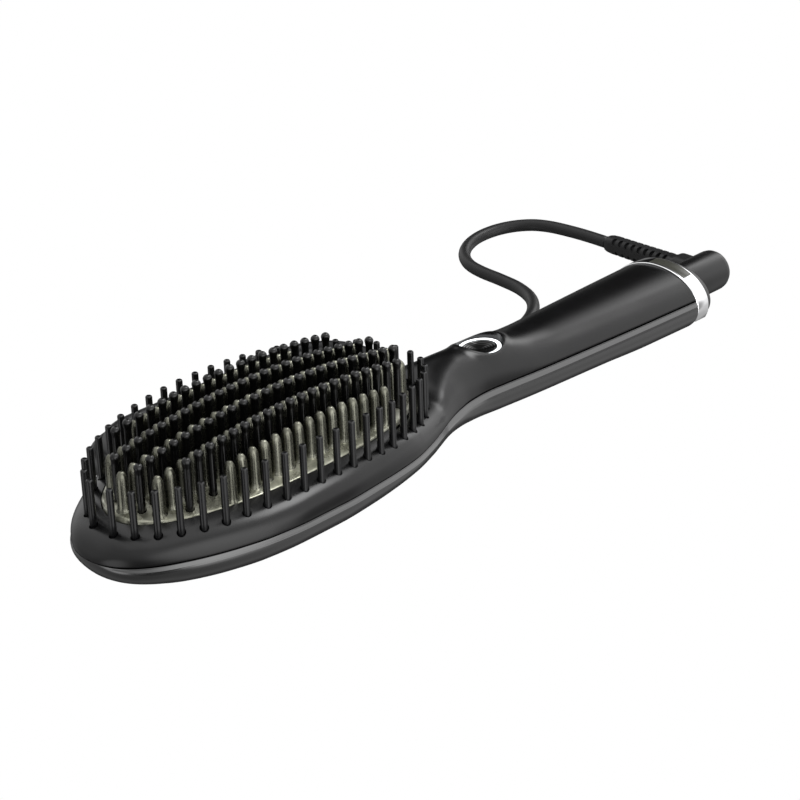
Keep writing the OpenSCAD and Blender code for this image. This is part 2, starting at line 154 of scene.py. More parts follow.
def lathe_into(v, f, prof, centre, axis_x=None, axis_y=None, axis_z=None, seg=24, close_bottom=True):
    """Adds a turned form to v and f. prof is [(radius, height)], the last radius may be 0."""
    ax = axis_x or Vector((1, 0, 0))
    ay = axis_y or Vector((0, 1, 0))
    azz = axis_z or Vector((0, 0, 1))
    c = Vector(centre)
    base = len(v)
    first = None
    rows = []
    for r, h in prof:
        if r < 1e-6:
            rows.append([len(v)])
            v.append(tuple(c + azz * h))
        else:
            rows.append(list(range(len(v), len(v) + seg)))
            for k in range(seg):
                a = 2 * pi * k / seg
                v.append(tuple(c + ax * (r * math.cos(a)) + ay * (r * math.sin(a)) + azz * h))
    for p, q in zip(rows, rows[1:]):
        if len(p) == 1 and len(q) == 1:
            continue
        for k in range(seg):
            k2 = (k + 1) % seg
            if len(q) == 1:
                f.append((p[k], p[k2], q[0]))
            elif len(p) == 1:
                f.append((p[0], q[k2], q[k]))
            else:
                f.append((p[k], p[k2], q[k2], q[k]))
    if close_bottom and len(rows[0]) > 1:
        f.append(tuple(reversed(rows[0])))


def prism(name, pts, z0, z1):
    n = len(pts)
    v = [(p[0], p[1], z0) for p in pts] + [(p[0], p[1], z1) for p in pts]
    f = [tuple(range(n - 1, -1, -1)), tuple(range(n, 2 * n))] + [(i, (i + 1) % n, n + (i + 1) % n, n + i) for i in range(n)]
    return fix_normals(add_mesh(name, v, f, smooth=False))


# ---------------------------------------------------------------- materials
class Mat:
    """A Principled material with helpers for its nodes."""

    def __init__(self, name, base=(0.8, 0.8, 0.8), rough=0.5, metal=0.0, spec=0.5, coat=0.0, coat_rough=0.05, ior=1.45):
        self.m = bpy.data.materials.new(name)
        self.m.use_nodes = True
        self.t = self.m.node_tree
        self.b = self.t.nodes["Principled BSDF"]
        s = self.b.inputs
        s["Base Color"].default_value = (*base, 1)
        s["Roughness"].default_value = rough
        s["Metallic"].default_value = metal
        s["IOR"].default_value = ior
        s["Specular IOR Level"].default_value = spec
        s["Coat Weight"].default_value = coat
        s["Coat Roughness"].default_value = coat_rough
        self.base = base

    def node(self, kind, **kw):
        n = self.t.nodes.new(kind)
        for k, v in kw.items():
            if k in n.inputs:
                n.inputs[k].default_value = v
            else:
                setattr(n, k, v)
        return n

    def link(self, a, b):
        self.t.links.new(a, b)

    def coords(self, stretch=(1, 1, 1), rot=(0, 0, 0)):
        tc = self.node("ShaderNodeTexCoord")
        mp = self.node("ShaderNodeMapping")
        mp.inputs["Scale"].default_value = stretch
        mp.inputs["Rotation"].default_value = rot
        self.link(tc.outputs["Object"], mp.inputs["Vector"])
        return mp.outputs["Vector"]

    def noise(self, scale, detail=3, rough=0.5, vec=None, dist=0.0):
        n = self.node("ShaderNodeTexNoise")
        n.inputs["Scale"].default_value = scale
        n.inputs["Detail"].default_value = detail
        n.inputs["Roughness"].default_value = rough
        n.inputs["Distortion"].default_value = dist
        self.link(vec or self.coords(), n.inputs["Vector"])
        return n.outputs["Fac"]

    def ramp(self, fac, stops):
        n = self.node("ShaderNodeValToRGB")
        e = n.color_ramp.elements
        while len(e) > 1:
            e.remove(e[-1])
        e[0].position = stops[0][0]
        e[0].color = (*stops[0][1], 1)
        for p, c in stops[1:]:
            k = e.new(p)
            k.color = (*c, 1)
        self.link(fac, n.inputs["Fac"])
        return n.outputs["Color"]

    def range(self, fac, lo, hi, out_lo, out_hi):
        n = self.node("ShaderNodeMapRange")
        n.inputs["From Min"].default_value = lo
        n.inputs["From Max"].default_value = hi
        n.inputs["To Min"].default_value = out_lo
        n.inputs["To Max"].default_value = out_hi
        self.link(fac, n.inputs["Value"])
        return n.outputs["Result"]

    def colour(self, fac, stops):
        self.link(self.ramp(fac, stops), self.b.inputs["Base Color"])

    def rough(self, fac, lo, hi, out_lo, out_hi):
        self.link(self.range(fac, lo, hi, out_lo, out_hi), self.b.inputs["Roughness"])

    def bump(self, fac, strength, dist=0.0001, prev=None):
        n = self.node("ShaderNodeBump")
        n.inputs["Strength"].default_value = strength
        n.inputs["Distance"].default_value = dist
        self.link(fac, n.inputs["Height"])
        if prev:
            self.link(prev, n.inputs["Normal"])
        self.link(n.outputs["Normal"], self.b.inputs["Normal"])
        return n.outputs["Normal"]


def moulded(name, base, rough, spread=0.05, grain=3500, bump=0.12, **kw):
    """Moulded plastic or rubber: a fine grain with slow changes of gloss."""
    m = Mat(name, base, rough, **kw)
    big = m.noise(60, 2)
    m.rough(big, 0.3, 0.7, rough - spread, rough + spread)
    m.colour(m.noise(220, 3), [(0.3, tuple(c * 0.86 for c in base)), (0.7, tuple(c * 1.14 for c in base))])
    m.bump(m.noise(grain, 2), bump, 0.00003)
    return m


M = {}
M["body"] = moulded("soft_black_plastic", (0.0032, 0.0032, 0.0034), 0.25, 0.025, 5200, 0.10, spec=0.5)
M["lower"] = moulded("semi_gloss_black", (0.005, 0.005, 0.0052), 0.16, 0.02, 3000, 0.03, spec=1.0, ior=1.7)
M["groove"] = moulded("seam_groove_black", (0.002, 0.002, 0.002), 0.7, 0.05, 3000, 0.05, spec=0.2)
M["ball"] = moulded("ball_bristle_gloss", (0.002, 0.002, 0.002), 0.17, 0.03, 2600, 0.05, spec=0.5)
M["pin"] = moulded("pin_charcoal_satin", (0.0045, 0.0045, 0.005), 0.24, 0.03, 3600, 0.12, spec=0.5)
M["cord"] = moulded("lead_matte_black", (0.008, 0.008, 0.0084), 0.46, 0.05, 2600, 0.18, spec=0.42)
M["relief"] = moulded("relief_rubber_black", (0.0075, 0.0075, 0.008), 0.44, 0.05, 2600, 0.18, spec=0.42)
M["boss"] = moulded("boss_satin_black", (0.005, 0.005, 0.0053), 0.3, 0.03, 4200, 0.1, spec=0.5)
M["button"] = moulded("button_gloss_black", (0.003, 0.003, 0.003), 0.09, 0.02, 2500, 0.02, spec=0.5, coat=0.4)
M["badge"] = moulded("badge_dark_satin", (0.042, 0.042, 0.034), 0.3, 0.03, 2500, 0.04, spec=0.4)
M["carrier"] = moulded("carrier_grey", (0.02, 0.02, 0.021), 0.5, 0.05, 2000, 0.2)
M["strip"] = moulded("strip_black", (0.01, 0.01, 0.011), 0.5, 0.05, 2000, 0.2)
M["switch"] = moulded("switch_grey", (0.05, 0.05, 0.055), 0.45, 0.05, 2500, 0.1)
M["heater"] = moulded("heater_ceramic", (0.62, 0.58, 0.5), 0.6, 0.05, 1800, 0.3)
M["sensor"] = moulded("sensor_bead", (0.5, 0.28, 0.12), 0.2, 0.03, 1800, 0.1)
M["fuse"] = moulded("fuse_metal", (0.6, 0.61, 0.63), 0.3, 0.05, 1500, 0.1, metal=1.0)
M["wires"] = moulded("silicone_leads", (0.32, 0.03, 0.02), 0.5, 0.05, 1500, 0.1)
M["board"] = moulded("board_green", (0.015, 0.1, 0.03), 0.35, 0.05, 900, 0.1)
M["brass"] = moulded("contact_brass", (0.72, 0.52, 0.22), 0.25, 0.06, 1200, 0.08, metal=1.0)
M["steel"] = moulded("brushed_steel", (0.55, 0.56, 0.58), 0.3, 0.06, 900, 0.1, metal=1.0)


def plate_material():
    m = Mat("ceramic_plate_olive", (0.2, 0.2, 0.16), 0.3, metal=0.82)
    v = m.coords((1, 1, 1), (0, 0, 0.5))
    marble = m.noise(95, 6, 0.62, v, 1.4)
    m.colour(marble, [(0.28, (0.10, 0.10, 0.078)), (0.45, (0.235, 0.235, 0.185)), (0.58, (0.33, 0.33, 0.27)), (0.74, (0.60, 0.60, 0.52))])
    m.rough(m.noise(160, 4, 0.6), 0.3, 0.7, 0.2, 0.38)
    brush = m.noise(420, 3, 0.6, m.coords((1, 9, 1), (0, 0, 0.9)))
    n1 = m.bump(brush, 0.25, 0.00005)
    m.bump(m.noise(1400, 2), 0.16, 0.00003, n1)
    return m


def tooth_material():
    m = Mat("ceramic_teeth_olive", (0.2, 0.2, 0.16), 0.3, metal=0.96)
    v = m.coords((1, 1, 0.35))
    m.colour(m.noise(260, 5, 0.6, v), [(0.3, (0.1, 0.1, 0.08)), (0.52, (0.165, 0.165, 0.133)), (0.75, (0.28, 0.28, 0.23))])
    m.rough(m.noise(500, 3), 0.3, 0.7, 0.2, 0.32)
    m.bump(m.noise(1500, 3, 0.65), 0.35, 0.00006)
    return m


def chrome_material():
    m = Mat("polished_chrome", (0.86, 0.865, 0.87), 0.05, metal=1.0)
    m.rough(m.noise(120, 3), 0.3, 0.7, 0.03, 0.075)
    m.colour(m.noise(30, 2), [(0.3, (0.84, 0.845, 0.85)), (0.7, (0.89, 0.892, 0.9))])
    return m


def light_material():
    m = Mat("lit_diffuser", (0.95, 0.97, 1.0), 0.35)
    m.b.inputs["Emission Color"].default_value = (0.95, 0.98, 1.0, 1)
    m.b.inputs["Emission Strength"].default_value = 1.6
    m.bump(m.noise(1800, 2), 0.05, 0.00003)
    m.rough(m.noise(90, 2), 0.3, 0.7, 0.3, 0.4)
    return m


M["plate"] = plate_material()
M["teeth"] = tooth_material()
M["chrome"] = chrome_material()
M["light"] = light_material()


# ---------------------------------------------------------------- form of the body, in mm
def rt(x):
    return math.sqrt(x)


W = [(0, 0), (rt(1.2), 7.3), (rt(5), 13.9), (rt(10), 18.9), (rt(16), 23.1), (rt(22), 26.5), (rt(30), 30.0), (rt(40), 33.0), (rt(52), 34.5), (rt(66), 34.7), (rt(82), 33.2), (rt(91), 31.8),
     (rt(101), 29.4), (rt(113), 24.6), (rt(120), 21.2), (rt(128), 17.1), (rt(136), 14.1), (rt(144), 12.2), (rt(152), 11.6), (rt(162), 12.3), (rt(176), 13.6), (rt(200), 15.2), (rt(228), 16.8), (rt(254), 18.0)]
B = [(0, 14.2), (.5, 12), (1, 10.2), (2, 7), (3, 4.6), (rt(18), 2.4), (rt(30), 1.2), (rt(42), .8), (rt(54), .8), (rt(78), 1.2), (rt(90), 2.2), (rt(102), 3.2), (rt(114), 3),
     (rt(130), 3.4), (rt(146), 2.6), (rt(160), 1.7), (rt(180), 1.2), (rt(210), .7), (rt(232), -.2), (rt(254), -.2)]
T = [(122, 20.9), (128, 22.4), (137, 25.1), (146, 26.2), (158, 26.2), (168, 25.2), (180, 23.2), (190, 22.7), (254, 22.7)]
_slopes = {}


def slopes(t):
    d = [(b[1] - a[1]) / (b[0] - a[0]) for a, b in zip(t, t[1:])]
    return [d[0]] + [0 if p * q <= 0 else 2 * p * q / (p + q) for p, q in zip(d, d[1:])] + [d[-1]]


def curve(t, x):
    k = id(t)
    if k not in _slopes:
        _slopes[k] = slopes(t)
    m = _slopes[k]
    i = 0
    while i < len(t) - 2 and x >= t[i + 1][0]:
        i += 1
    h = t[i + 1][0] - t[i][0]
    s = min(max((x - t[i][0]) / h, 0), 1)
    return ((2 * s ** 3 - 3 * s * s + 1) * t[i][1] + (s ** 3 - 2 * s * s + s) * h * m[i]
            + (3 * s * s - 2 * s ** 3) * t[i + 1][1] + (s ** 3 - s * s) * h * m[i + 1])


def step01(a, b, x):
    s = min(max((x - a) / (b - a), 0), 1)
    return s * s * (3 - 2 * s)


def half_w(x):
    return curve(W, math.sqrt(max(x, 0)))


def seam_z(x):
    return 17.4 - 3.12 * ((x - 66) / 60) ** 2 if x < 126 else 14.28


def deck_z(x):
    return 24.6 - 3.73 * ((x - 66) / 60) ** 2


def top_z(x):
    k = step01(120, 132, x)
    z = deck_z(min(x, 126)) * (1 - k) + curve(T, max(x, 122)) * k
    return seam_z(x) + (z - seam_z(x)) * math.sqrt(max(0, 1 - (1 - x / 9) ** 2)) if x < 9 else z


def belly_z(x):
    return min(curve(B, math.sqrt(max(x, 0))), seam_z(x))


def top_p(x):
    return 3.4 - 1.4 * step01(112, 148, x)


def low_p(x):
    return 1.9 + 0.1 * step01(112, 150, x)


def drop(x):
    return 2.0 * step01(2, 18, x) + 1.5 * step01(118, 150, x)


def pin_line(x):
    """Half width of the line of outer pins at x."""
    t = abs(x - 66) / 60
    return 30.5 * (1 - t ** 2.15) ** (1 / 2.15) if t < 1 else 0.0


def section_top(x):
    """Centre, height, half width and power of the upper section."""
    w, s = half_w(x), seam_z(x)
    c = s - drop(x)
    p = top_p(x)
    b = top_z(x) - c
    r = (min(0.885, pin_line(x) / max(w, 1e-6)) if x < 104 else 0.885) * (1 - step01(98, 146, x))
    b = b / (1 - r ** p) ** (1 / p)
    t0 = math.asin(min((s - c) / b, 0.95))
    a = w / math.cos(t0) ** (2 / p)
    return c, b, a, p, t0


BUT_X, BUT_Z = 161.0, 23.3
RA, RB = 7.95, 6.45
WA, WB = 8.8, 7.2


def lip(x, y):
    """How far the raised edge of the button's recess stands up."""
    dx, dy = (x - BUT_X) / WA, y / WB
    r = math.hypot(dx, dy)
    if r < 1e-6 or r > 3:
        return 0.0
    d = (r - 1) * (WA + WB) / 2
    return 0.45 * math.exp(-((d - 0.7) / 1.3) ** 2)


def top_point(x, t, inset=0.0):
    """Point of the upper surface at section angle t (0 is the -Y side)."""
    c, b, a, p, t0 = section_top(x)
    ct = math.cos(t)
    y = -(a - inset) * math.copysign(abs(ct) ** (2 / p), ct)
    z = c + (b - inset) * math.sin(t) ** (2 / p) if p > 2.001 else c + (b - inset) * math.sin(t)
    return y, z


def sup(v, e):
    return math.copysign(abs(v) ** e, v)


def spaced(xs):
    out = []
    for a, b, n in xs:
        out += [a + (b - a) * i / n for i in range(n)]
    return out + [xs[-1][1]]


STATIONS = [9.0 * (i / 26) ** 2.2 + 0.012 for i in range(26)] + spaced([(9.0, 30, 22), (30, 112, 60), (112, 146, 44), (146, 178, 60), (178, 253.7, 44)])
SEAM_UP, SEAM_LO = 0.14, 0.30


def upper_ring(x, inner, n=84):
    w, s = half_w(x), seam_z(x)
    c, b, a, p, t0 = section_top(x)
    e = 2 / p
    if not inner:
        # height of the first point of the arc over the seam, then a small rounding under it
        rr = min(0.34, w * 0.3)
        zt = min(max((s + SEAM_UP + rr - c) / b, 0.0), 0.9)
        t1 = math.asin(zt ** (1 / e))
        arc = []
        for i in range(n + 1):
            t = t1 + (pi - 2 * t1) * i / n
            y, z = -a * sup(math.cos(t), e), c + b * math.sin(t) ** e
            arc.append((y, z + lip(x, y) if z > s + 3 else z))
        y0 = arc[0][0]
        q = rr
        left = [(y0 + q * 1.0, s + SEAM_UP), (y0 + q * 0.45, s + SEAM_UP + q * 0.12), (y0 + q * 0.12, s + SEAM_UP + q * 0.45)]
        right = [(-v[0], v[1]) for v in reversed(left)]
        return [(X0 + x, y, z) for y, z in left + arc + right]
    xi = x if x > 10 else 2.1 + x * 0.79
    w, s = half_w(xi) - 2.0, seam_z(xi)
    c, b, a, p, t0 = section_top(xi)
    e = 2 / p
    b -= 2.0
    zt = min(max((s + SEAM_UP - c) / b, 0.0), 0.9)
    t1 = math.asin(zt ** (1 / e))
    a = w / max(math.cos(t1), 0.2) ** e
    out = []
    m = n + 6
    for i in range(m + 1):
        t = t1 + (pi - 2 * t1) * i / m
        out.append((X0 + xi, -a * sup(math.cos(t), e), c + b * math.sin(t) ** e))
    return out


def thick_shell(name, outer, inner, mat):
    """A closed wall between two open surfaces that have the same grid."""
    n = len(outer[0])
    m = len(outer)
    v = [p for r in outer for p in r] + [p for r in inner for p in r]
    o = m * n
    f = []
    for j in range(m - 1):
        for i in range(n - 1):
            a = j * n + i
            f.append((a, a + 1, a + 1 + n, a + n))
            f.append((o + a, o + a + n, o + a + 1 + n, o + a + 1))
    for j in range(m - 1):
        for i in (0, n - 1):
            a = j * n + i
            f.append((a, a + n, o + a + n, o + a) if i == 0 else (a, o + a, o + a + n, a + n))
    for j in (0, m - 1):
        for i in range(n - 1):
            a = j * n + i
            f.append((a, o + a, o + a + 1, a + 1) if j == 0 else (a, a + 1, o + a + 1, o + a))
    ob = add_mesh(name, v, f, mat)
    return fix_normals(ob)


def oval(a, inset=0.0):
    return (X0 + 66 + (60 - inset) * sup(math.cos(a), 2 / 2.15), (30.5 - inset) * sup(math.sin(a), 2 / 2.15))


def pin_places():
    n = 1440
    pts = [oval(2 * pi * i / n) for i in range(n + 1)]
    cum = [0.0]
    for p, q in zip(pts, pts[1:]):
        cum.append(cum[-1] + math.hypot(q[0] - p[0], q[1] - p[1]))
    out, i = [], 0
    for k in range(46):
        s = (k + 0.5) * cum[-1] / 46
        while cum[i + 1] < s:
            i += 1
        u = (s - cum[i]) / (cum[i + 1] - cum[i])
        out.append((pts[i][0] + (pts[i + 1][0] - pts[i][0]) * u, pts[i][1] + (pts[i + 1][1] - pts[i][1]) * u))
    return out


# how far the pins stand off the even oval, by x
PIN_DX = [(6.2, 0), (8.2, .5), (12, .7), (30, .5), (45, .9), (66, .9), (79, .7), (92, -.3), (110, 0), (126, 0)]
PIN_NEAR = [(6.2, -.8), (8.2, -1), (17, -.7), (28, -.7), (36, -.2), (47, -.1), (60, .4), (79, .5), (92, -.3), (104, 0), (126, 0)]
PIN_FAR = [(6.2, 1.3), (8.2, .6), (12, 0), (17, -.7), (22, -1.2), (34, -1.4), (60, -1.3), (90, -.6), (110, 0), (126, 0)]


def pin_shift(x, y):
    u = x - X0
    return (x + curve(PIN_DX, u), y + curve(PIN_NEAR if y < 0 else PIN_FAR, u))


PINS = [pin_shift(*q) for q in pin_places()]


def keep_shading(ob, ref_v, ref_f, tol=0.02):
    """Gives the cut mesh the uncut surface's own normals wherever it still lies on that surface."""
    me = bpy.data.meshes.new("ref")
    me.from_pydata([tuple(c * MM for c in v) for v in ref_v], [], ref_f)
    me.update()
    nv = [Vector(n.vector) for n in me.vertex_normals]
    co = [v.co.copy() for v in me.vertices]
    bvh = BVHTree.FromPolygons(co, ref_f)
    target = ob.data
    normals = [None] * len(target.loops)
    cache = {}
    for poly in target.polygons:
        pn = poly.normal
        for li in poly.loop_indices:
            vi = target.loops[li].vertex_index
            if vi not in cache:
                loc, nn, idx, dist = bvh.find_nearest(target.vertices[vi].co)
                if dist is not None and dist < tol * MM:
                    ids = ref_f[idx]
                    ws = [1.0 / max((co[k] - loc).length, 1e-7) for k in ids]
                    sn = Vector((0, 0, 0))
                    for k, wgt in zip(ids, ws):
                        sn += nv[k] * wgt
                    cache[vi] = sn.normalized()
                else:
                    cache[vi] = None
            rn = cache[vi]
            if rn is not None and abs(rn.dot(pn)) > 0.8:
                normals[li] = rn if rn.dot(pn) > 0 else -rn
            else:
                normals[li] = pn.copy()
    target.polygons.foreach_set("use_smooth", [True] * len(target.polygons))
    target.normals_split_custom_set([tuple(n) for n in normals])
    bpy.data.meshes.remove(me)
    return ob


def build_upper():
    outer = [upper_ring(x, False) for x in STATIONS]
    inner = [upper_ring(x, True) for x in STATIONS]
    ob = thick_shell("upper_shell_form", outer, inner, M["body"])
    n = len(outer[0])
    rv = [p for r in outer for p in r]
    rf = [(j * n + i, j * n + i + 1, (j + 1) * n + i + 1, (j + 1) * n + i) for j in range(len(outer) - 1) for i in range(n - 1)]
    v, f = [], []
    for p in PINS:
        lathe_into(v, f, [(1.34, 12), (1.34, 40)], (p[0], p[1], 0), seg=28)
        f.append(tuple(range(len(v) - 28, len(v))))
    holes = fix_normals(add_mesh("holes", v, f, smooth=False))
    opening = prism("opening", [oval(2 * pi * i / 160, 4.1) for i in range(160)], 10, 60)
    well = prism("well", [(X0 + BUT_X + (WA - 0.1) * math.cos(2 * pi * i / 96), (WB - 0.1) * math.sin(2 * pi * i / 96)) for i in range(96)], 16, 60)
    # the crescent step behind the last pins
    rim = [oval(math.radians(-62 + 124 * i / 60), -3.3) for i in range(61)]
    back = min(q[0] for q in rim)
    v, f, m = [], [], 61
    for k in range(13):
        for q in rim:
            x = back + (q[0] - back) * k / 12
            v.append((x, q[1], deck_z(min(x - X0, 127)) + 0.1))
    for q in rim:
        v.append((q[0], q[1], 60))
    for q in rim:
        v.append((back, q[1], 60))
    for k in range(14):
        for i in range(m - 1):
            a = k * m + i
            f.append((a, a + 1, a + 1 + m, a + m))
    for i in range(m - 1):
        f.append((14 * m + i, 14 * m + i + 1, i + 1, i))
    for e in (0, m - 1):
        f.append(tuple(k * m + e for k in range(15)))
    tray = add_mesh("tray", v, f, smooth=False)
    bm = bmesh.new()
    bm.from_mesh(tray.data)
    bmesh.ops.remove_doubles(bm, verts=bm.verts, dist=1e-7)
    bmesh.ops.recalc_face_normals(bm, faces=bm.faces)
    bm.to_mesh(tray.data)
    bm.free()
    boolean(ob, [holes, opening, well, tray])
    keep_shading(ob, rv, rf)
    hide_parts("upper_shell")
    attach(ob, "handle")
    return ob


def lower_ring(x, inner, n=72):
    if inner:
        xi = x if x > 10 else 2.1 + x * 0.79
        w, s = half_w(xi) - 2.0, seam_z(xi)
        cc = s - drop(xi)
        a = (half_w(xi) / math.cos(section_top(xi)[4]) ** (2 / section_top(xi)[3])) - 2.0
        bl = max(cc - belly_z(xi) - 2.0, 0.1)
        pl = low_p(xi)
        pts = [(w, s - SEAM_LO - 0.02 * k) for k in range(8)]
        for i in range(n + 1):
            t = pi * i / n
            pts.append((a * sup(math.cos(t), 2 / pl), min(cc, s - SEAM_LO - 0.2) - bl * abs(math.sin(t)) ** (2 / pl)))
        pts += [(-w, s - SEAM_LO - 0.02 * (7 - k)) for k in range(8)]
        return [(X0 + xi, y, z) for y, z in pts]
    w, s = half_w(x), seam_z(x)
    c, b, a, p, t0 = section_top(x)
    bl = max(c - belly_z(x), 0.02)
    pl = low_p(x)
    # the bevel under the seam: bh high, bo outward
    k = step01(118, 136, x)
    small = min(1.0, (s - belly_z(x)) / 8.0)
    bh = (1.35 * (1 - k) + (2.05 - 0.3 * step01(150, 254, x)) * k) * small
    bo = (0.55 * (1 - k) + 0.80 * k) * small
    e = SEAM_LO * small
    q = min(0.3, w * 0.25) * small
    pts = [(w - q, s - e), (w - q * 0.42, s - e - q * 0.1), (w - q * 0.1, s - e - q * 0.4), (w, s - e - q)]
    yc, zc = w + bo, s - bh
    pts += [(w + (yc - w) * u, s - e - q + (zc - (s - e - q)) * u) for u in (0.33, 0.66, 0.96)]
    g = 0.2 * small
    pts += [(yc, zc), (yc - g, zc - 0.06 * small), (yc - g, zc - 0.2 * small)]
    # belly from the crease to the keel
    a2 = max(yc, a)
    zc2 = min(zc - 0.28 * small, c + 2.0)
    cz = min(c, zc2)
    bl2 = cz - belly_z(x)
    if c > zc2:
        bl2 = zc2 - belly_z(x)
        cz = zc2
    half = []
    m = n // 2
    for i in range(m + 1):
        t = (pi / 2) * i / m
        half.append((a2 * abs(math.cos(t)) ** (2 / pl), cz - max(bl2, 0.01) * math.sin(t) ** (2 / pl)))
    if cz < zc2 - 1e-6:
        half[0] = (a2, (cz + zc2) / 2)
    half[-1] = (0.0, cz - max(bl2, 0.01))
    pts += half
    full = pts + [(-y, z) for y, z in reversed(pts[:-1])]
    return [(X0 + x, y, z) for y, z in full]


def build_lower():
    outer = [lower_ring(x, False) for x in STATIONS]
    inner = [lower_ring(x, True) for x in STATIONS]
    n = len(outer[0])
    k = len(inner[0])
    # same number of points on both surfaces
    if k != n:
        inner = [[r[int(round(i * (k - 1) / (n - 1)))] for i in range(n)] for r in inner]
    ob = thick_shell("lower_shell_form", outer, inner, M["lower"])
    rv = [p for r in outer for p in r]
    rf = [(j * n + i, j * n + i + 1, (j + 1) * n + i + 1, (j + 1) * n + i) for j in range(len(outer) - 1) for i in range(n - 1)]
    v, f = [], []
    for sx in (30, 102, 190, 240):
        z = max(belly_z(sx), 0) + 0.5
        lathe_into(v, f, [(2.3, -4), (2.3, z + 1.75)], (X0 + sx, 0, 0), seg=32)
        f.append(tuple(range(len(v) - 32, len(v))))
    holes = fix_normals(add_mesh("holes", v, f, smooth=False))
    floor_cut = prism("flat", [(X0 - 5, -40), (X0 + 270, -40), (X0 + 270, 40), (X0 - 5, 40)], -8, 0.0)
    boolean(ob, [holes, floor_cut])
    sharp(ob, 11)
    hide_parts("lower_shell")
    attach(ob, "handle")
    return ob


# ---------------------------------------------------------------- plate, teeth and bristles
def dome_z(x, y):
    return 30.3 - (x - 69.6) ** 2 / 500 - y * y / 160


def build_plate():
    na, nr = 180, 26
    top, v, f = [], [], []
    edge = [(1.0, -1.55), (1.0, -0.42), (0.9975, -0.2), (0.992, -0.06), (0.983, 0.0)]
    rows = []
    for u, dz in edge:
        row = []
        for i in range(na):
            x, y = oval(2 * pi * i / na, 4.4)
            x = X0 + 66 + (x - X0 - 66) * u
            y *= u
            row.append((x, y, dome_z(x - X0, y) + dz))
        rows.append(row)
    for k in range(1, nr):
        u = 0.983 * (1 - k / nr)
        row = []
        for i in range(na):
            x, y = oval(2 * pi * i / na, 4.4)
            x = X0 + 66 + (x - X0 - 66) * u
            y *= u
            row.append((x, y, dome_z(x - X0, y)))
        rows.append(row)
    n = na
    v = [p for r in rows for p in r]
    for j in range(len(rows) - 1):
        for i in range(n):
            a, b = j * n + i, j * n + (i + 1) % n
            f.append((a, b, b + n, a + n))
    c = len(v)
    v.append((X0 + 66, 0, dome_z(66, 0)))
    o = (len(rows) - 1) * n
    for i in range(n):
        f.append((o + i, o + (i + 1) % n, c))
    # underside
    base = len(v)
    for k in range(1, 6):
        u = 1 - k / 6
        for i in range(n):
            x, y = oval(2 * pi * i / n, 4.4)
            x = X0 + 66 + (x - X0 - 66) * u
            y *= u
            v.append((x, y, dome_z(x - X0, y) - 1.55))
    prev = 0
    for k in range(5):
        cur = base + k * n
        for i in range(n):
            f.append((prev + (i + 1) % n, prev + i, cur + i, cur + (i + 1) % n))
        prev = cur
    c = len(v)
    v.append((X0 + 66, 0, dome_z(66, 0) - 1.55))
    for i in range(n):
        f.append((prev + (i + 1) % n, prev + i, c))
    ob = fix_normals(add_mesh("heater_plate_form", v, f, M["plate"]))
    cv, cf = [], []
    for x, y in ball_places():
        lathe_into(cv, cf, [(1.36, 18), (1.36, 44)], (x, y, 0), seg=20)
        cf.append(tuple(range(len(cv) - 20, len(cv))))
    boolean(ob, [fix_normals(add_mesh("holes", cv, cf, smooth=False))])
    sharp(ob, 40)
    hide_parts("heater_plate")
    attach(ob, "handle")


def ball_places(row=None):
    out = []
    for r in range(4):
        if row is not None and r != row:
            continue
        for i in (range(2, 22) if r in (0, 3) else range(24)):
            out.append((X0 + 15.96 + 4.36 * i, (r - 1.5) * 10.0))
    return out


def tooth_places():
    out = [(X0 + 15.96 + 4.36 * (i + 0.5), 0.0) for i in range(-1, 24)]
    for y in (-10.0, 10.0):
        out += [(X0 + 15.96 + 4.36 * (i + 0.5), y) for i in range(23)]
    for y in (-20.0, 20.0):
        out += [(X0 + 15.96 + 4.36 * (i + 0.5), y) for i in range(4, 19)]
    return out


def build_teeth():
    v, f = [], []
    prof = [(2.35, -0.35), (2.3, 0.02), (2.02, 0.22), (1.90, 0.6), (1.84, 1.3), (1.80, 3.0), (1.75, 6.0), (1.68, 8.4)]
    r0, h0, hd = 1.68, 8.4, 3.3
    for k in range(1, 9):
        a = (pi / 2) * k / 9
        prof.append((r0 * math.cos(a) ** 0.92, h0 + hd * math.sin(a)))
    prof.append((0, h0 + hd))
    for x, y in tooth_places():
        z = dome_z(x - X0, y)
        # the foot follows the dome
        base = len(v)
        lathe_into(v, f, prof, (x, y, z), seg=28)
        for i in range(base, base + 28 * 3):
            px, py, pz = v[i]
            v[i] = (px, py, pz + dome_z(px - X0, py) - z)
    ob = fix_normals(add_mesh("heated_teeth_form", v, f, M["teeth"]))
    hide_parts("heated_teeth")
    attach(ob, "handle")


def ball_z(x):
    return 43.3 - 0.002 * (x - 69.6) ** 2


def build_balls():
    for r in range(4):
        v, f = [], []
        for x, y in ball_places(r):
            zc = ball_z(x - X0)
            prof = [(1.16, 17.6), (1.16, dome_z(x - X0, y) + 1.0), (1.13, zc - 4.2), (1.10, zc - 2.0), (1.13, zc - 1.45), (1.26, zc - 1.0)]
            for k in range(0, 9):
                a = math.radians(-22 + (90 + 22) * k / 9)
                prof.append((1.4 * math.cos(a), zc + 1.4 * math.sin(a)))
            prof.append((0, zc + 1.4))
            lathe_into(v, f, prof, (x, y, 0), seg=26)
        ob = fix_normals(add_mesh(f"ball_bristles_{r + 1}", v, f, M["ball"]))
        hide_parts(f"bristle_row_{r + 1}")
        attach(ob, "handle")


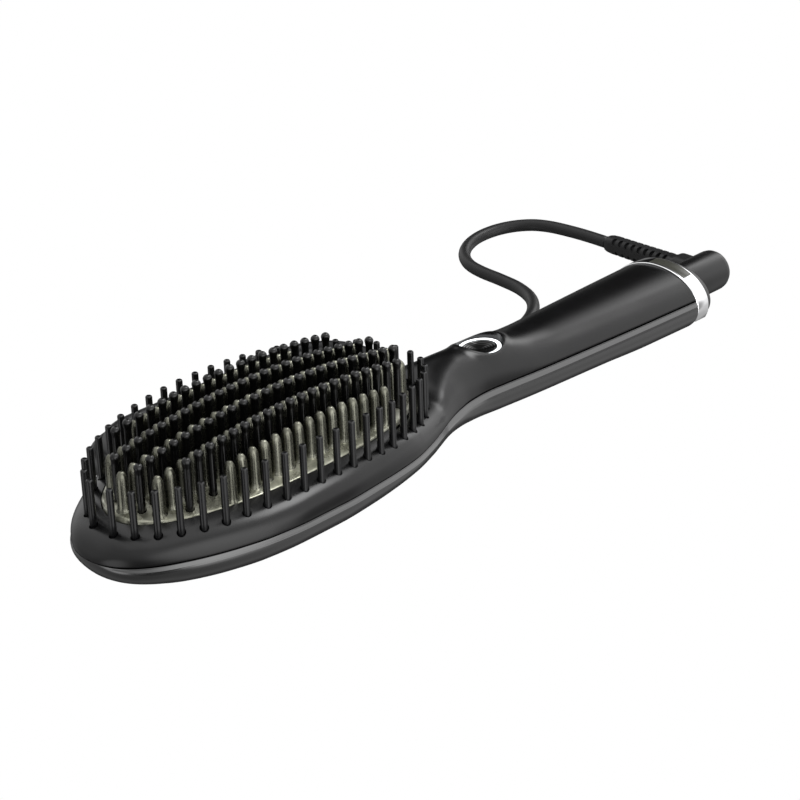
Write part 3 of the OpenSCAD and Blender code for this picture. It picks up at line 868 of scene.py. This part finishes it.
def build_pins():
    v, f = [], []
    for x, y in PINS:
        top = 38.5 - 3.85 * ((x - X0 - 66) / 60) ** 2
        rr, q = 1.025, 0.52
        prof = [(rr + 0.06, 17.2), (rr + 0.03, 24.0), (rr, top - q)]
        for k in range(1, 6):
            a = (pi / 2) * k / 6
            prof.append((rr - q + q * math.cos(a), top - q + q * math.sin(a)))
        prof += [(rr - q, top), (0, top + 0.03)]
        lathe_into(v, f, prof, (x, y, 0), seg=26)
    ob = fix_normals(add_mesh("comb_pins", v, f, M["pin"]))
    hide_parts("outer_bristles")
    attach(ob, "handle")


# ---------------------------------------------------------------- lead, hank, plug
ROUTE = [(140.4, 46.25, 11), (141.2, 57, 10.9), (141.8, 67, 10.5), (142, 76, 9.9), (140.5, 83.5, 9.2), (136.3, 89.8, 8.3), (130, 94, 7.3), (122.5, 95.5, 6.3), (115, 94, 5.3), (108.7, 89.8, 4.4),
         (104.5, 83.5, 3.7), (103, 76, 3.1), (102.4, 66, 2.7), (100.6, 55.5, 2.5), (95.6, 45.6, 2.5), (87.2, 37.8, 2.5), (76.5, 32.6, 2.5), (64, 30, 2.5), (50, 29.6, 2.5), (35, 28.6, 2.5), (20, 26.2, 2.7), (8, 24.3, 2.9)]
HANK_C, HANK_L = (-38.5, 51.3), 68.0
CORD_R = 2.3


def hank_pt(lx, ly, z):
    return (HANK_C[0] + lx, HANK_C[1] + ly, z)


def catmull(p, sub):
    out = []
    for i in range(len(p) - 1):
        a, b, c, d = (Vector(p[max(i - 1, 0)]), Vector(p[i]), Vector(p[i + 1]), Vector(p[min(i + 2, len(p) - 1)]))
        for k in range(sub):
            s = k / sub
            out.append(0.5 * (2 * b + (c - a) * s + (2 * a - 5 * b + 4 * c - d) * s * s + (3 * b - a - 3 * c + d) * s ** 3))
    out.append(Vector(p[-1]))
    return out


def cord_path():
    """Route, then five turns of the hank, then the stretch inside it that ends in the plug."""
    h, r0, P, z1 = HANK_L / 2, 13.8, 4.6, 3.0
    near = [(-(r0 + 3 * P), z1), (-(r0 + 2 * P), z1), (-(r0 + P), z1), (-(r0 + P), z1 + P), (-r0, z1 + P), (-r0, z1)]
    lag = (0, 32, 32, 23, 14, 5)
    out = []
    for k in range(1, 6):
        (ya, za), (yb, zb) = near[k - 1], near[k]
        for i in range(9):
            x = h - 2 * h * i / 9
            u = step01(0, 1, (h - x - lag[k]) / 28)
            out.append(hank_pt(x, ya + (yb - ya) * u, za + (zb - za) * u))
        r = -yb
        for i in range(12):
            a = pi * i / 12
            out.append(hank_pt(-h - r * math.sin(a), -r * math.cos(a), zb))
        for i in range(6):
            out.append(hank_pt(-h + 2 * h * i / 6, r, zb))
        for i in range(12):
            a = pi * i / 12
            out.append(hank_pt(h + r * math.sin(a), r * math.cos(a), zb))
    th, r2 = math.radians(55.2), 18.4
    t1, tot = r0 * th, (r0 + r2) * th
    for i in range(5):
        a = th * i / 5
        out.append(hank_pt(h - r0 * math.sin(a), -r0 * math.cos(a), z1 + 4.2 * step01(0, tot, r0 * a)))
    x1, y1 = h - r0 * math.sin(th), -r0 * math.cos(th)
    for i in range(8):
        a = th - th * i / 7
        out.append(hank_pt(x1 - r2 * (math.sin(th) - math.sin(a)), y1 + r2 * (math.cos(a) - math.cos(th)), z1 + 4.2 * step01(0, tot, t1 + r2 * (th - a))))
    return ROUTE + out


def tube_mesh(name, pts, radius, sides, mat, caps=True):
    P = [Vector(p) for p in pts]
    n = len(P)
    u = None
    v = []
    for i in range(n):
        t = (P[min(i + 1, n - 1)] - P[max(i - 1, 0)]).normalized()
        if u is None:
            u = t.cross(Vector((0, 0, 1))).normalized()
        u = (u - t * u.dot(t)).normalized()
        w = t.cross(u)
        for k in range(sides):
            a = 2 * pi * k / sides
            v.append(tuple(P[i] + radius * (math.cos(a) * u + math.sin(a) * w)))
    f = []
    for i in range(n - 1):
        for k in range(sides):
            a, b = i * sides + k, i * sides + (k + 1) % sides
            f.append((a, b, b + sides, a + sides))
    if caps:
        f.append(tuple(range(sides - 1, -1, -1)))
        f.append(tuple((n - 1) * sides + k for k in range(sides)))
    return fix_normals(add_mesh(name, v, f, mat))


def build_cord():
    fine = [tuple(v) for v in catmull(cord_path(), 4)]
    ob = tube_mesh("mains_lead", fine, CORD_R, 20, M["cord"])
    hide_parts("cord_tube", "cord_hank", "cord_tail")
    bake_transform(ob)
    return ob


def build_relief():
    """Tapered sleeve with two rows of windows on each side."""
    ax = math.radians(-4.2)
    d = Vector((math.sin(-ax), math.cos(ax), 0))
    e1 = Vector((math.cos(ax), math.sin(ax), 0))
    e2 = Vector((0, 0, 1))
    c = Vector((X0 + 282.2, 0, 11.0))
    seg = 56

    def place(x, y, h):
        return tuple(c + e1 * x + e2 * y + d * h)

    prof = [(4.6, 4.0), (4.6, 11.2), (4.5, 11.8), (4.1, 12.2), (3.86, 13.0), (3.62, 30), (3.5, 42.2), (3.3, 44.6), (2.95, 45.8), (2.42, 45.85)]
    rows = []
    for r, h in prof:
        row = []
        for k in range(seg):
            a = 2 * pi * k / seg
            # a softly squared round section
            q = (abs(math.cos(a)) ** 3.2 + abs(math.sin(a)) ** 3.2) ** (-1 / 3.2)
            m = 1.0 if h < 12.1 else 0.92
            row.append(place(r * m * q * math.cos(a), r * m * q * math.sin(a), h))
        rows.append(row)
    ob = rings("strain_relief_form", rows, M["relief"])
    fix_normals(ob)
    v, f = [], []
    n = 0
    for side in range(4):
        a0 = pi / 4 + side * pi / 2
        for i in range(9):
            off = 0.5 if side % 2 else 0.0
            h = 14.6 + (i + off) * 3.1
            if h > 42.5:
                continue
            # a slot that runs round the corner of the sleeve
            cs = [(-0.62, 1.0), (0.62, 1.0)]
            b = len(v)
            m = 9
            for z in (-0.86, 0.86):
                for rr in (2.75, 6.5):
                    for k in range(m):
                        a = a0 + math.radians(-25 + 50 * k / (m - 1))
                        zz = z * math.sqrt(max(0.08, 1 - ((k - (m - 1) / 2) / ((m - 1) / 2 + 0.35)) ** 2))
                        v.append(place(rr * math.cos(a), rr * math.sin(a), h + zz))
            def ix(zi, ri, k):
                return b + zi * 2 * m + ri * m + k
            for k in range(m - 1):
                f.append((ix(0, 0, k), ix(0, 0, k + 1), ix(0, 1, k + 1), ix(0, 1, k)))
                f.append((ix(1, 0, k), ix(1, 1, k), ix(1, 1, k + 1), ix(1, 0, k + 1)))
                f.append((ix(0, 1, k), ix(0, 1, k + 1), ix(1, 1, k + 1), ix(1, 1, k)))
                f.append((ix(0, 0, k), ix(1, 0, k), ix(1, 0, k + 1), ix(0, 0, k + 1)))
            f.append((ix(0, 0, 0), ix(0, 1, 0), ix(1, 1, 0), ix(1, 0, 0)))
            f.append((ix(0, 0, m - 1), ix(1, 0, m - 1), ix(1, 1, m - 1), ix(0, 1, m - 1)))
            n += 1
    cut = fix_normals(add_mesh("slots", v, f, smooth=False))
    boolean(ob, [cut])
    sharp(ob, 30)
    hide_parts("strain_relief")
    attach(ob, "swivel")


def plug_pt(x, y, z):
    """Point of the plug's own frame: x runs from its neck to its blades."""
    return hank_pt(7.4 - x, -y, 7.2 + z)


def build_plug():
    fine = []
    wy, wz, r, n = 10.5, 6.5, 3.6, 9
    for x in (8, 8.3, 8.8, 9.6, 11, 12.4, 13.8, 15.2, 16.6, 18, 19.5, 22, 25, 27.6, 29, 29.7, 30):
        e = min((x - 8) / 2.4, (30 - x) / 1.6, 1.0)
        sc = 0.84 + 0.16 * math.sqrt(max(0, 1 - (1 - e) ** 2))
        g = 1.0 - 0.16 * math.exp(-((x - 13.6) / 3.4) ** 2)
        lp = []
        for q in range(4):
            for k in range(n):
                a = pi / 2 * (q + k / (n - 1))
                cy = (wy - r) * (1 if q in (0, 3) else -1)
                cz = (wz - r) * (1 if q in (0, 1) else -1)
                lp.append(plug_pt(x, (cy + r * math.cos(a)) * sc * g, (cz + r * math.sin(a)) * sc))
        fine.append(lp)
    body = fix_normals(rings("plug_body", fine, M["cord"]))
    sharp(body, 50)
    # ribbed neck
    v, f = [], []
    prof = []
    for i in range(7):
        x, rr = 0.1 + i * 1.14, 3.0 + 0.34 * i
        prof += [(rr, x), (rr + 0.12, x + 0.16), (rr + 0.12, x + 0.64), (rr, x + 0.8), (rr - 0.35, x + 0.86), (rr - 0.35, x + 1.1)]
    prof += [(5.3, 8.1), (5.3, 9.0), (0, 9.0)]
    lathe_into(v, f, prof, plug_pt(0, 0, 0), axis_x=Vector((0, -1, 0)), axis_y=Vector((0, 0, 1)), axis_z=Vector((-1, 0, 0)), seg=36)
    neck = sharp(fix_normals(add_mesh("plug_neck", v, f, M["cord"])), 40)
    # grip ridges above and below
    v, f = [], []
    for i in range(5):
        cx = 10.6 + i * 1.8
        for s in (-1, 1):
            b = len(v)
            for x, hh in ((cx - 0.5, -0.3), (cx - 0.3, 0.35), (cx + 0.3, 0.35), (cx + 0.5, -0.3)):
                for y in (-5.2, 5.2):
                    v.append(plug_pt(x, y, s * (wz - 0.35 + hh)))
            for k in range(3):
                f.append((b + 2 * k, b + 2 * k + 1, b + 2 * k + 3, b + 2 * k + 2))
            f += [(b, b + 2, b + 4, b + 6), (b + 1, b + 7, b + 5, b + 3), (b, b + 6, b + 7, b + 1)]
    rid = fix_normals(add_mesh("plug_ridges", v, f, M["cord"], smooth=False))
    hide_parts("power_plug")
    for o in (body, neck, rid):
        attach(o, "handle")
    # blades with round holes
    v, f = [], []
    m = 32
    for s in (-1, 1):
        b = len(v)
        cx, x0, x1, zz = 43.5, 30.0, 47.0, 3.2
        hole = [(cx + 1.5 * math.cos(2 * pi * k / m), 1.5 * math.sin(2 * pi * k / m)) for k in range(m)]
        rim = []
        for k in range(m):
            dx, dz = math.cos(2 * pi * k / m), math.sin(2 * pi * k / m)
            tx = ((x1 - cx) / dx if dx > 0 else (x0 - cx) / dx) if abs(dx) > 1e-6 else 1e9
            tz = zz / abs(dz) if abs(dz) > 1e-6 else 1e9
            rim.append((cx + dx * min(tx, tz), dz * min(tx, tz)))
        # the rear corners, so that the blade's outline stays square
        for k in range(m):
            if rim[k][0] < x0 + 6 and abs(abs(rim[k][1]) - zz) < 1e-6 and (rim[(k + 1) % m][0] < x0 + 0.01 or rim[k - 1][0] < x0 + 0.01):
                rim[k] = (x0, rim[k][1])
        for y in (s * 6.35 - 0.75, s * 6.35 + 0.75):
            v += [plug_pt(px, y, pz) for px, pz in rim] + [plug_pt(px, y, pz) for px, pz in hole]
        for k in range(m):
            k2 = (k + 1) % m
            f += [(b + k, b + k2, b + m + k2, b + m + k), (b + 2 * m + k, b + 3 * m + k, b + 3 * m + k2, b + 2 * m + k2),
                  (b + k, b + 2 * m + k, b + 2 * m + k2, b + k2), (b + m + k, b + m + k2, b + 3 * m + k2, b + 3 * m + k)]
    bl = sharp(fix_normals(add_mesh("plug_prongs", v, f, M["brass"])), 30)
    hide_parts("plug_blades")
    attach(bl, "handle")


def tie_material():
    m = Mat("tie_woven_black", (0.012, 0.012, 0.012), 0.8)
    v = m.coords((1, 1, 1))
    w1 = m.node("ShaderNodeTexWave")
    w1.inputs["Scale"].default_value = 700
    w1.inputs["Distortion"].default_value = 0.4
    m.link(v, w1.inputs["Vector"])
    m.bump(w1.outputs["Fac"], 0.6, 0.0002)
    m.colour(m.noise(900, 3), [(0.3, (0.009, 0.009, 0.009)), (0.7, (0.02, 0.02, 0.02))])
    return m


def build_tie():
    """A woven band round the hank, with a lapped end on top."""
    mat = tie_material()
    poly = [(-30.1, 0.62), (25.4, 0.62), (25.4, 5.4), (20.8, 10), (-20.8, 10), (-30.1, 5.4)]
    pts = []
    m = len(poly)
    for k in range(m):
        o, p, q = poly[k - 1], poly[k], poly[(k + 1) % m]
        na = math.atan2(-(p[0] - o[0]), p[1] - o[1])
        nb = math.atan2(-(q[0] - p[0]), q[1] - p[1])
        while nb < na:
            nb += 2 * pi
        pts += [(p[0], p[1], na + (nb - na) * i / 5) for i in range(6)]
    v, f = [], []
    n = len(pts)
    for py, pz, a in pts:
        for x, d in ((17.95, 0.02), (18.05, 0.3), (18.35, 0.54), (25.65, 0.54), (25.95, 0.3), (26.05, 0.02)):
            v.append(hank_pt(x, py + math.cos(a) * d, pz + math.sin(a) * d))
    for k in range(n):
        for i in range(6):
            a, b = k * 6 + i, k * 6 + (i + 1) % 6
            f.append((a, b, ((k + 1) % n) * 6 + (i + 1) % 6, ((k + 1) % n) * 6 + i))
    # the lapped end
    b = len(v)
    for y in (-9.0, -8.6, 5.0, 5.6):
        t = 0.5 if -8.7 < y < 5.1 else 0.1
        for x, d in ((18.4, 0.3), (18.6, 0.54 + t), (25.4, 0.54 + t), (25.6, 0.3)):
            v.append(hank_pt(x, y, 10 + d))
    for k in range(3):
        for i in range(4):
            f.append((b + 4 * k + i, b + 4 * k + (i + 1) % 4, b + 4 * k + 4 + (i + 1) % 4, b + 4 * k + 4 + i))
    f += [(b, b + 1, b + 2, b + 3), (b + 15, b + 14, b + 13, b + 12)]
    ob = sharp(fix_normals(add_mesh("tie_band", v, f, mat)), 50)
    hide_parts("hank_tie")
    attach(ob, "handle")


# ---------------------------------------------------------------- button, ring, boss
def build_button():
    cx = X0 + BUT_X
    na = 96
    # light ring with softly rounded top
    rows = []
    for oa, ob_, z in ((RA, RB, 19.6), (RA, RB, BUT_Z - 0.25), (RA - 0.12, RB - 0.1, BUT_Z - 0.06), (RA - 0.35, RB - 0.3, BUT_Z), (RA - 0.95, RB - 0.72, BUT_Z),
                       (RA - 1.08, RB - 0.82, BUT_Z - 0.08), (RA - 1.14, RB - 0.88, BUT_Z - 0.3), (RA - 1.14, RB - 0.88, 19.6)):
        rows.append([(cx + oa * math.cos(2 * pi * k / na), ob_ * math.sin(2 * pi * k / na), z) for k in range(na)])
    v = [p for r in rows for p in r]
    f = []
    for j in range(len(rows)):
        for i in range(na):
            a, b = j * na + i, j * na + (i + 1) % na
            c, d = ((j + 1) % len(rows)) * na + (i + 1) % na, ((j + 1) % len(rows)) * na + i
            f.append((a, b, c, d))
    lr = fix_normals(add_mesh("light_ring_form", v, f, M["light"]))
    sharp(lr, 50)
    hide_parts("light_ring")
    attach(lr, "handle")
    # dished cap with fine turned rings
    A, Bc = RA - 1.36, RB - 1.1
    rows = []
    for s, z in ((1.0, 20.2), (1.0, BUT_Z - 0.32), (0.985, BUT_Z - 0.14), (0.955, BUT_Z - 0.06), (0.92, BUT_Z - 0.07)):
        rows.append((s, z))
    steps = 46
    for k in range(1, steps):
        s = 0.92 * (1 - k / steps)
        dish = 1.0 * (1 - (s / 0.92) ** 2)
        wave = 0.035 * math.sin(s * 2 * pi * 7.0) if s > 0.12 else 0
        rows.append((s, BUT_Z - 0.07 - dish + wave))
    v = []
    for s, z in rows:
        for k in range(na):
            v.append((cx + A * s * math.cos(2 * pi * k / na), Bc * s * math.sin(2 * pi * k / na), z))
    f = []
    for j in range(len(rows) - 1):
        for i in range(na):
            a, b = j * na + i, j * na + (i + 1) % na
            f.append((a, b, b + na, a + na))
    c = len(v)
    v.append((cx, 0, rows[-1][1]))
    o = (len(rows) - 1) * na
    for i in range(na):
        f.append((o + i, o + (i + 1) % na, c))
    # underside and stem
    lathe_into(v, f, [(2.2, 19.6), (2.2, 20.3)], (cx, 0, 0), seg=24)
    f.append(tuple(range(len(v) - 24, len(v))))
    f.append(tuple(reversed(range(na))))
    bt = fix_normals(add_mesh("button_cap", v, f, M["button"]))
    sharp(bt, 45)
    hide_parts("power_button")
    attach(bt, "button")


def ellipse_loop(x, cy, cz, a, b, n=128, t0=0.0, t1=2 * pi, close=True):
    return [(X0 + x, cy + a * math.sin(t0 + (t1 - t0) * k / n), cz + b * math.cos(t0 + (t1 - t0) * k / n)) for k in range(n if close else n + 1)]


def build_ring():
    """The bright band round the end of the handle. It doesn't go under the flat of the tail."""
    cz = 10.8
    end = math.radians(111)
    n = 150
    prof = [(253.85, 18.05, 12.0), (253.85, 18.42, 12.36), (254.05, 18.6, 12.5), (254.4, 18.66, 12.56), (259.6, 18.66, 12.56), (259.95, 18.6, 12.5), (260.15, 18.4, 12.34), (260.15, 16.4, 10.4), (253.85, 16.4, 10.4)]
    loops = [ellipse_loop(x, 0, cz, a, b, n, -end, end, False) for x, a, b in prof]
    m = n + 1
    v = [p for lp in loops for p in lp]
    f = []
    k = len(loops)
    for j in range(k):
        for i in range(n):
            a, b = j * m + i, j * m + i + 1
            c, d = ((j + 1) % k) * m + i + 1, ((j + 1) % k) * m + i
            f.append((a, b, c, d))
    f.append(tuple(j * m for j in range(k)))
    f.append(tuple(j * m + n for j in reversed(range(k))))
    ob = fix_normals(add_mesh("chrome_band", v, f, M["chrome"]))
    sharp(ob, 40)
    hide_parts("end_ring")
    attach(ob, "handle")
    # bare dark inlay on the band's top
    half, far = math.radians(37), math.radians(11)
    nb = 64
    prof = [(254.75, 18.5, 12.4), (254.75, 18.72, 12.62), (254.9, 18.80, 12.70), (259.2, 18.80, 12.70), (259.35, 18.72, 12.62), (259.35, 18.5, 12.4)]
    loops = [ellipse_loop(x, 0, cz, a, b, nb, -half, far, False) for x, a, b in prof]
    m = nb + 1
    v = [p for lp in loops for p in lp]
    f = []
    k = len(loops)
    for j in range(k):
        for i in range(nb):
            f.append((j * m + i, j * m + i + 1, ((j + 1) % k) * m + i + 1, ((j + 1) % k) * m + i))
    f.append(tuple(j * m for j in range(k)))
    f.append(tuple(j * m + nb for j in reversed(range(k))))
    ob = fix_normals(add_mesh("band_inlay", v, f, M["badge"]))
    sharp(ob, 40)
    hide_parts("ring_badge")
    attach(ob, "handle")


def build_cap():
    """Dark end behind the band, rounded towards the boss."""
    prof = [(251.2, 14.5, 9.1), (254, 14.5, 9.1), (258.6, 14.5, 9.1), (260.2, 16.2, 10.0), (260.25, 17.6, 10.75), (261.4, 17.55, 10.72), (263.4, 16.9, 10.4), (265.0, 15.4, 9.6), (265.9, 13.2, 8.4), (266.0, 9.0, 8.2)]
    loops = []
    for x, a, b in prof:
        loops.append(ellipse_loop(x, 0, 10.9, a, b, 96))
    loops.append([(X0 + 266.0, 5.05 * math.sin(2 * pi * k / 96), 11.0 + 5.05 * math.cos(2 * pi * k / 96)) for k in range(96)])
    loops.append([(X0 + 251.2, 5.05 * math.sin(2 * pi * k / 96), 11.0 + 5.05 * math.cos(2 * pi * k / 96)) for k in range(96)])
    n = 96
    v = [p for lp in loops for p in lp]
    f = []
    k = len(loops)
    for j in range(k):
        for i in range(n):
            f.append((j * n + i, j * n + (i + 1) % n, ((j + 1) % k) * n + (i + 1) % n, ((j + 1) % k) * n + i))
    ob = fix_normals(add_mesh("end_cap_form", v, f, M["boss"]))
    sharp(ob, 35)
    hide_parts("end_cap")
    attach(ob, "handle")


def build_boss():
    r = 7.45
    prof = [(2.6, 254.9), (5.0, 254.9), (5.0, 266.35), (r - 0.25, 266.4), (r, 266.65), (r, 286.9), (r - 0.2, 288.1), (r - 0.7, 289.1), (r - 1.5, 289.75), (r - 2.5, 290.0), (0, 290.0)]
    v, f = [], []
    lathe_into(v, f, prof, (X0, 0, 11.0), axis_x=Vector((0, 1, 0)), axis_y=Vector((0, 0, 1)), axis_z=Vector((1, 0, 0)), seg=96, close_bottom=True)
    ob = fix_normals(add_mesh("boss_form", v, f, M["boss"]))
    sharp(ob, 40)
    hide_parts("swivel_boss")
    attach(ob, "swivel")


build_relief()
build_plug()
build_tie()
build_cord()
build_upper()
build_lower()
build_plate()
build_teeth()
build_balls()
build_pins()
build_button()
build_ring()
build_cap()
build_boss()

# ---------------------------------------------------------------- CAD nodes that stay
KEEP = {
    "bristle_carrier": "carrier", "outer_bristle_strip": "strip", "heater_element_1": "heater", "heater_element_2": "heater", "thermistor": "sensor", "thermal_fuse": "fuse",
    "heater_wires": "wires", "control_board": "board", "tact_switch": "switch", "contact_fingers": "brass", "retaining_flange": "steel", "slip_rings": "brass",
    "case_screws": "steel",
}
for name, key in KEEP.items():
    ob = frame["nodes"][name] if isinstance(frame["nodes"][name], bpy.types.Object) else bpy.data.objects[name]
    ob.data.materials.clear()
    ob.data.materials.append(M[key].m)


# ---------------------------------------------------------------- stage and light
def stage():
    m = bpy.data.materials.new("floor_white")
    m.use_nodes = True
    t = m.node_tree
    t.nodes.clear()
    e = t.nodes.new("ShaderNodeEmission")
    e.inputs["Color"].default_value = (1, 1, 1, 1)
    e.inputs["Strength"].default_value = 1.0
    o = t.nodes.new("ShaderNodeOutputMaterial")
    t.links.new(e.outputs[0], o.inputs[0])
    fl = add_mesh("floor", [(-20000, -20000, -0.3), (20000, -20000, -0.3), (20000, 20000, -0.3), (-20000, 20000, -0.3)], [(0, 1, 2, 3)], m, smooth=False)
    fl.visible_glossy = False
    fl.visible_diffuse = False


stage()


def world():
    w = bpy.data.worlds.new("studio")
    bpy.context.scene.world = w
    w.use_nodes = True
    t = w.node_tree
    t.nodes.clear()
    out = t.nodes.new("ShaderNodeOutputWorld")
    bg = t.nodes.new("ShaderNodeBackground")
    t.links.new(bg.outputs[0], out.inputs[0])
    tc = t.nodes.new("ShaderNodeTexCoord")

    def math_node(op, a, b=None):
        n = t.nodes.new("ShaderNodeMath")
        n.operation = op
        for i, x in enumerate((a, b)):
            if x is None:
                continue
            if isinstance(x, (int, float)):
                n.inputs[i].default_value = x
            else:
                t.links.new(x, n.inputs[i])
        return n.outputs[0]

    def direction(az, el):
        a, e = math.radians(az), math.radians(el)
        return (math.cos(a) * math.cos(e), math.sin(a) * math.cos(e), math.sin(e))

    def spot(az, el, r_in, r_out, value):
        """value inside r_in degrees of the direction, falling to 0 at r_out."""
        n = t.nodes.new("ShaderNodeVectorMath")
        n.operation = "DOT_PRODUCT"
        n.inputs[1].default_value = direction(az, el)
        t.links.new(tc.outputs["Generated"], n.inputs[0])
        m = t.nodes.new("ShaderNodeMapRange")
        m.interpolation_type = "SMOOTHSTEP"
        m.inputs["From Min"].default_value = math.cos(math.radians(r_out))
        m.inputs["From Max"].default_value = math.cos(math.radians(r_in))
        m.inputs["To Min"].default_value = 0
        m.inputs["To Max"].default_value = value
        t.links.new(n.outputs["Value"], m.inputs["Value"])
        return m.outputs["Result"]

    sep = t.nodes.new("ShaderNodeSeparateXYZ")
    t.links.new(tc.outputs["Generated"], sep.inputs[0])

    def band(axis, pts):
        """Adds a Float Curve node with clipping off and returns it; the node is not linked."""
        r = t.nodes.new("ShaderNodeFloatCurve")
        c = r.mapping.curves[0]
        r.mapping.use_clip = False
        return r

    def ramp_z(stops):
        m = t.nodes.new("ShaderNodeMapRange")
        m.inputs["From Min"].default_value = -1
        m.inputs["From Max"].default_value = 1
        t.links.new(sep.outputs[2], m.inputs["Value"])
        n = t.nodes.new("ShaderNodeValToRGB")
        n.color_ramp.interpolation = "EASE"
        e = n.color_ramp.elements
        while len(e) > 1:
            e.remove(e[-1])
        for i, (s, val) in enumerate(stops):
            p = (math.sin(math.radians(s)) + 1) / 2
            k = e[0] if i == 0 else e.new(p)
            k.position = p
            k.color = (val, val, val, 1)
        t.links.new(m.outputs["Result"], n.inputs["Fac"])
        return n.outputs["Color"]

    base = ramp_z([(-90, 0.3), (-40, 0.42), (-20, 0.6), (-6, 0.95), (10, 1.3), (35, 1.35), (50, 1.1), (72, 1.5), (90, 1.6)])
    # the room behind the piece is dimmer than the side that the light comes from
    v = math_node("MULTIPLY", base, math_node("ADD", spot(-20, 20, 75, 140, 0.5), 0.5))
    v = math_node("ADD", v, spot(-28, 61, 6, 16, 7.6))
    v = math_node("ADD", v, spot(13, 42, 3, 11, 2.0))
    v = math_node("ADD", v, spot(5, 27, 4, 13, 1.7))
    v = math_node("ADD", v, spot(-102, 0, 22, 46, 1.3))
    v = math_node("ADD", v, spot(176, -22, 9, 24, 1.1))
    for az, el, r_in, r_out, k in ((43, 20, 15, 27, 0.99), (34, 53, 10, 23, 0.92), (-56, -8, 7, 20, 0.6), (44, -30, 18, 48, 0.85), (-136, -32, 8, 26, 0.5)):
        v = math_node("MULTIPLY", v, math_node("SUBTRACT", 1.0, spot(az, el, r_in, r_out, k)))
    t.links.new(v, bg.inputs["Strength"])
    bg.inputs["Color"].default_value = (1, 1, 1, 1)


world()
sc = bpy.context.scene
sc.view_settings.view_transform = "Standard"
sc.view_settings.look = "None"
sc.view_settings.exposure = 0
sc.view_settings.gamma = 1
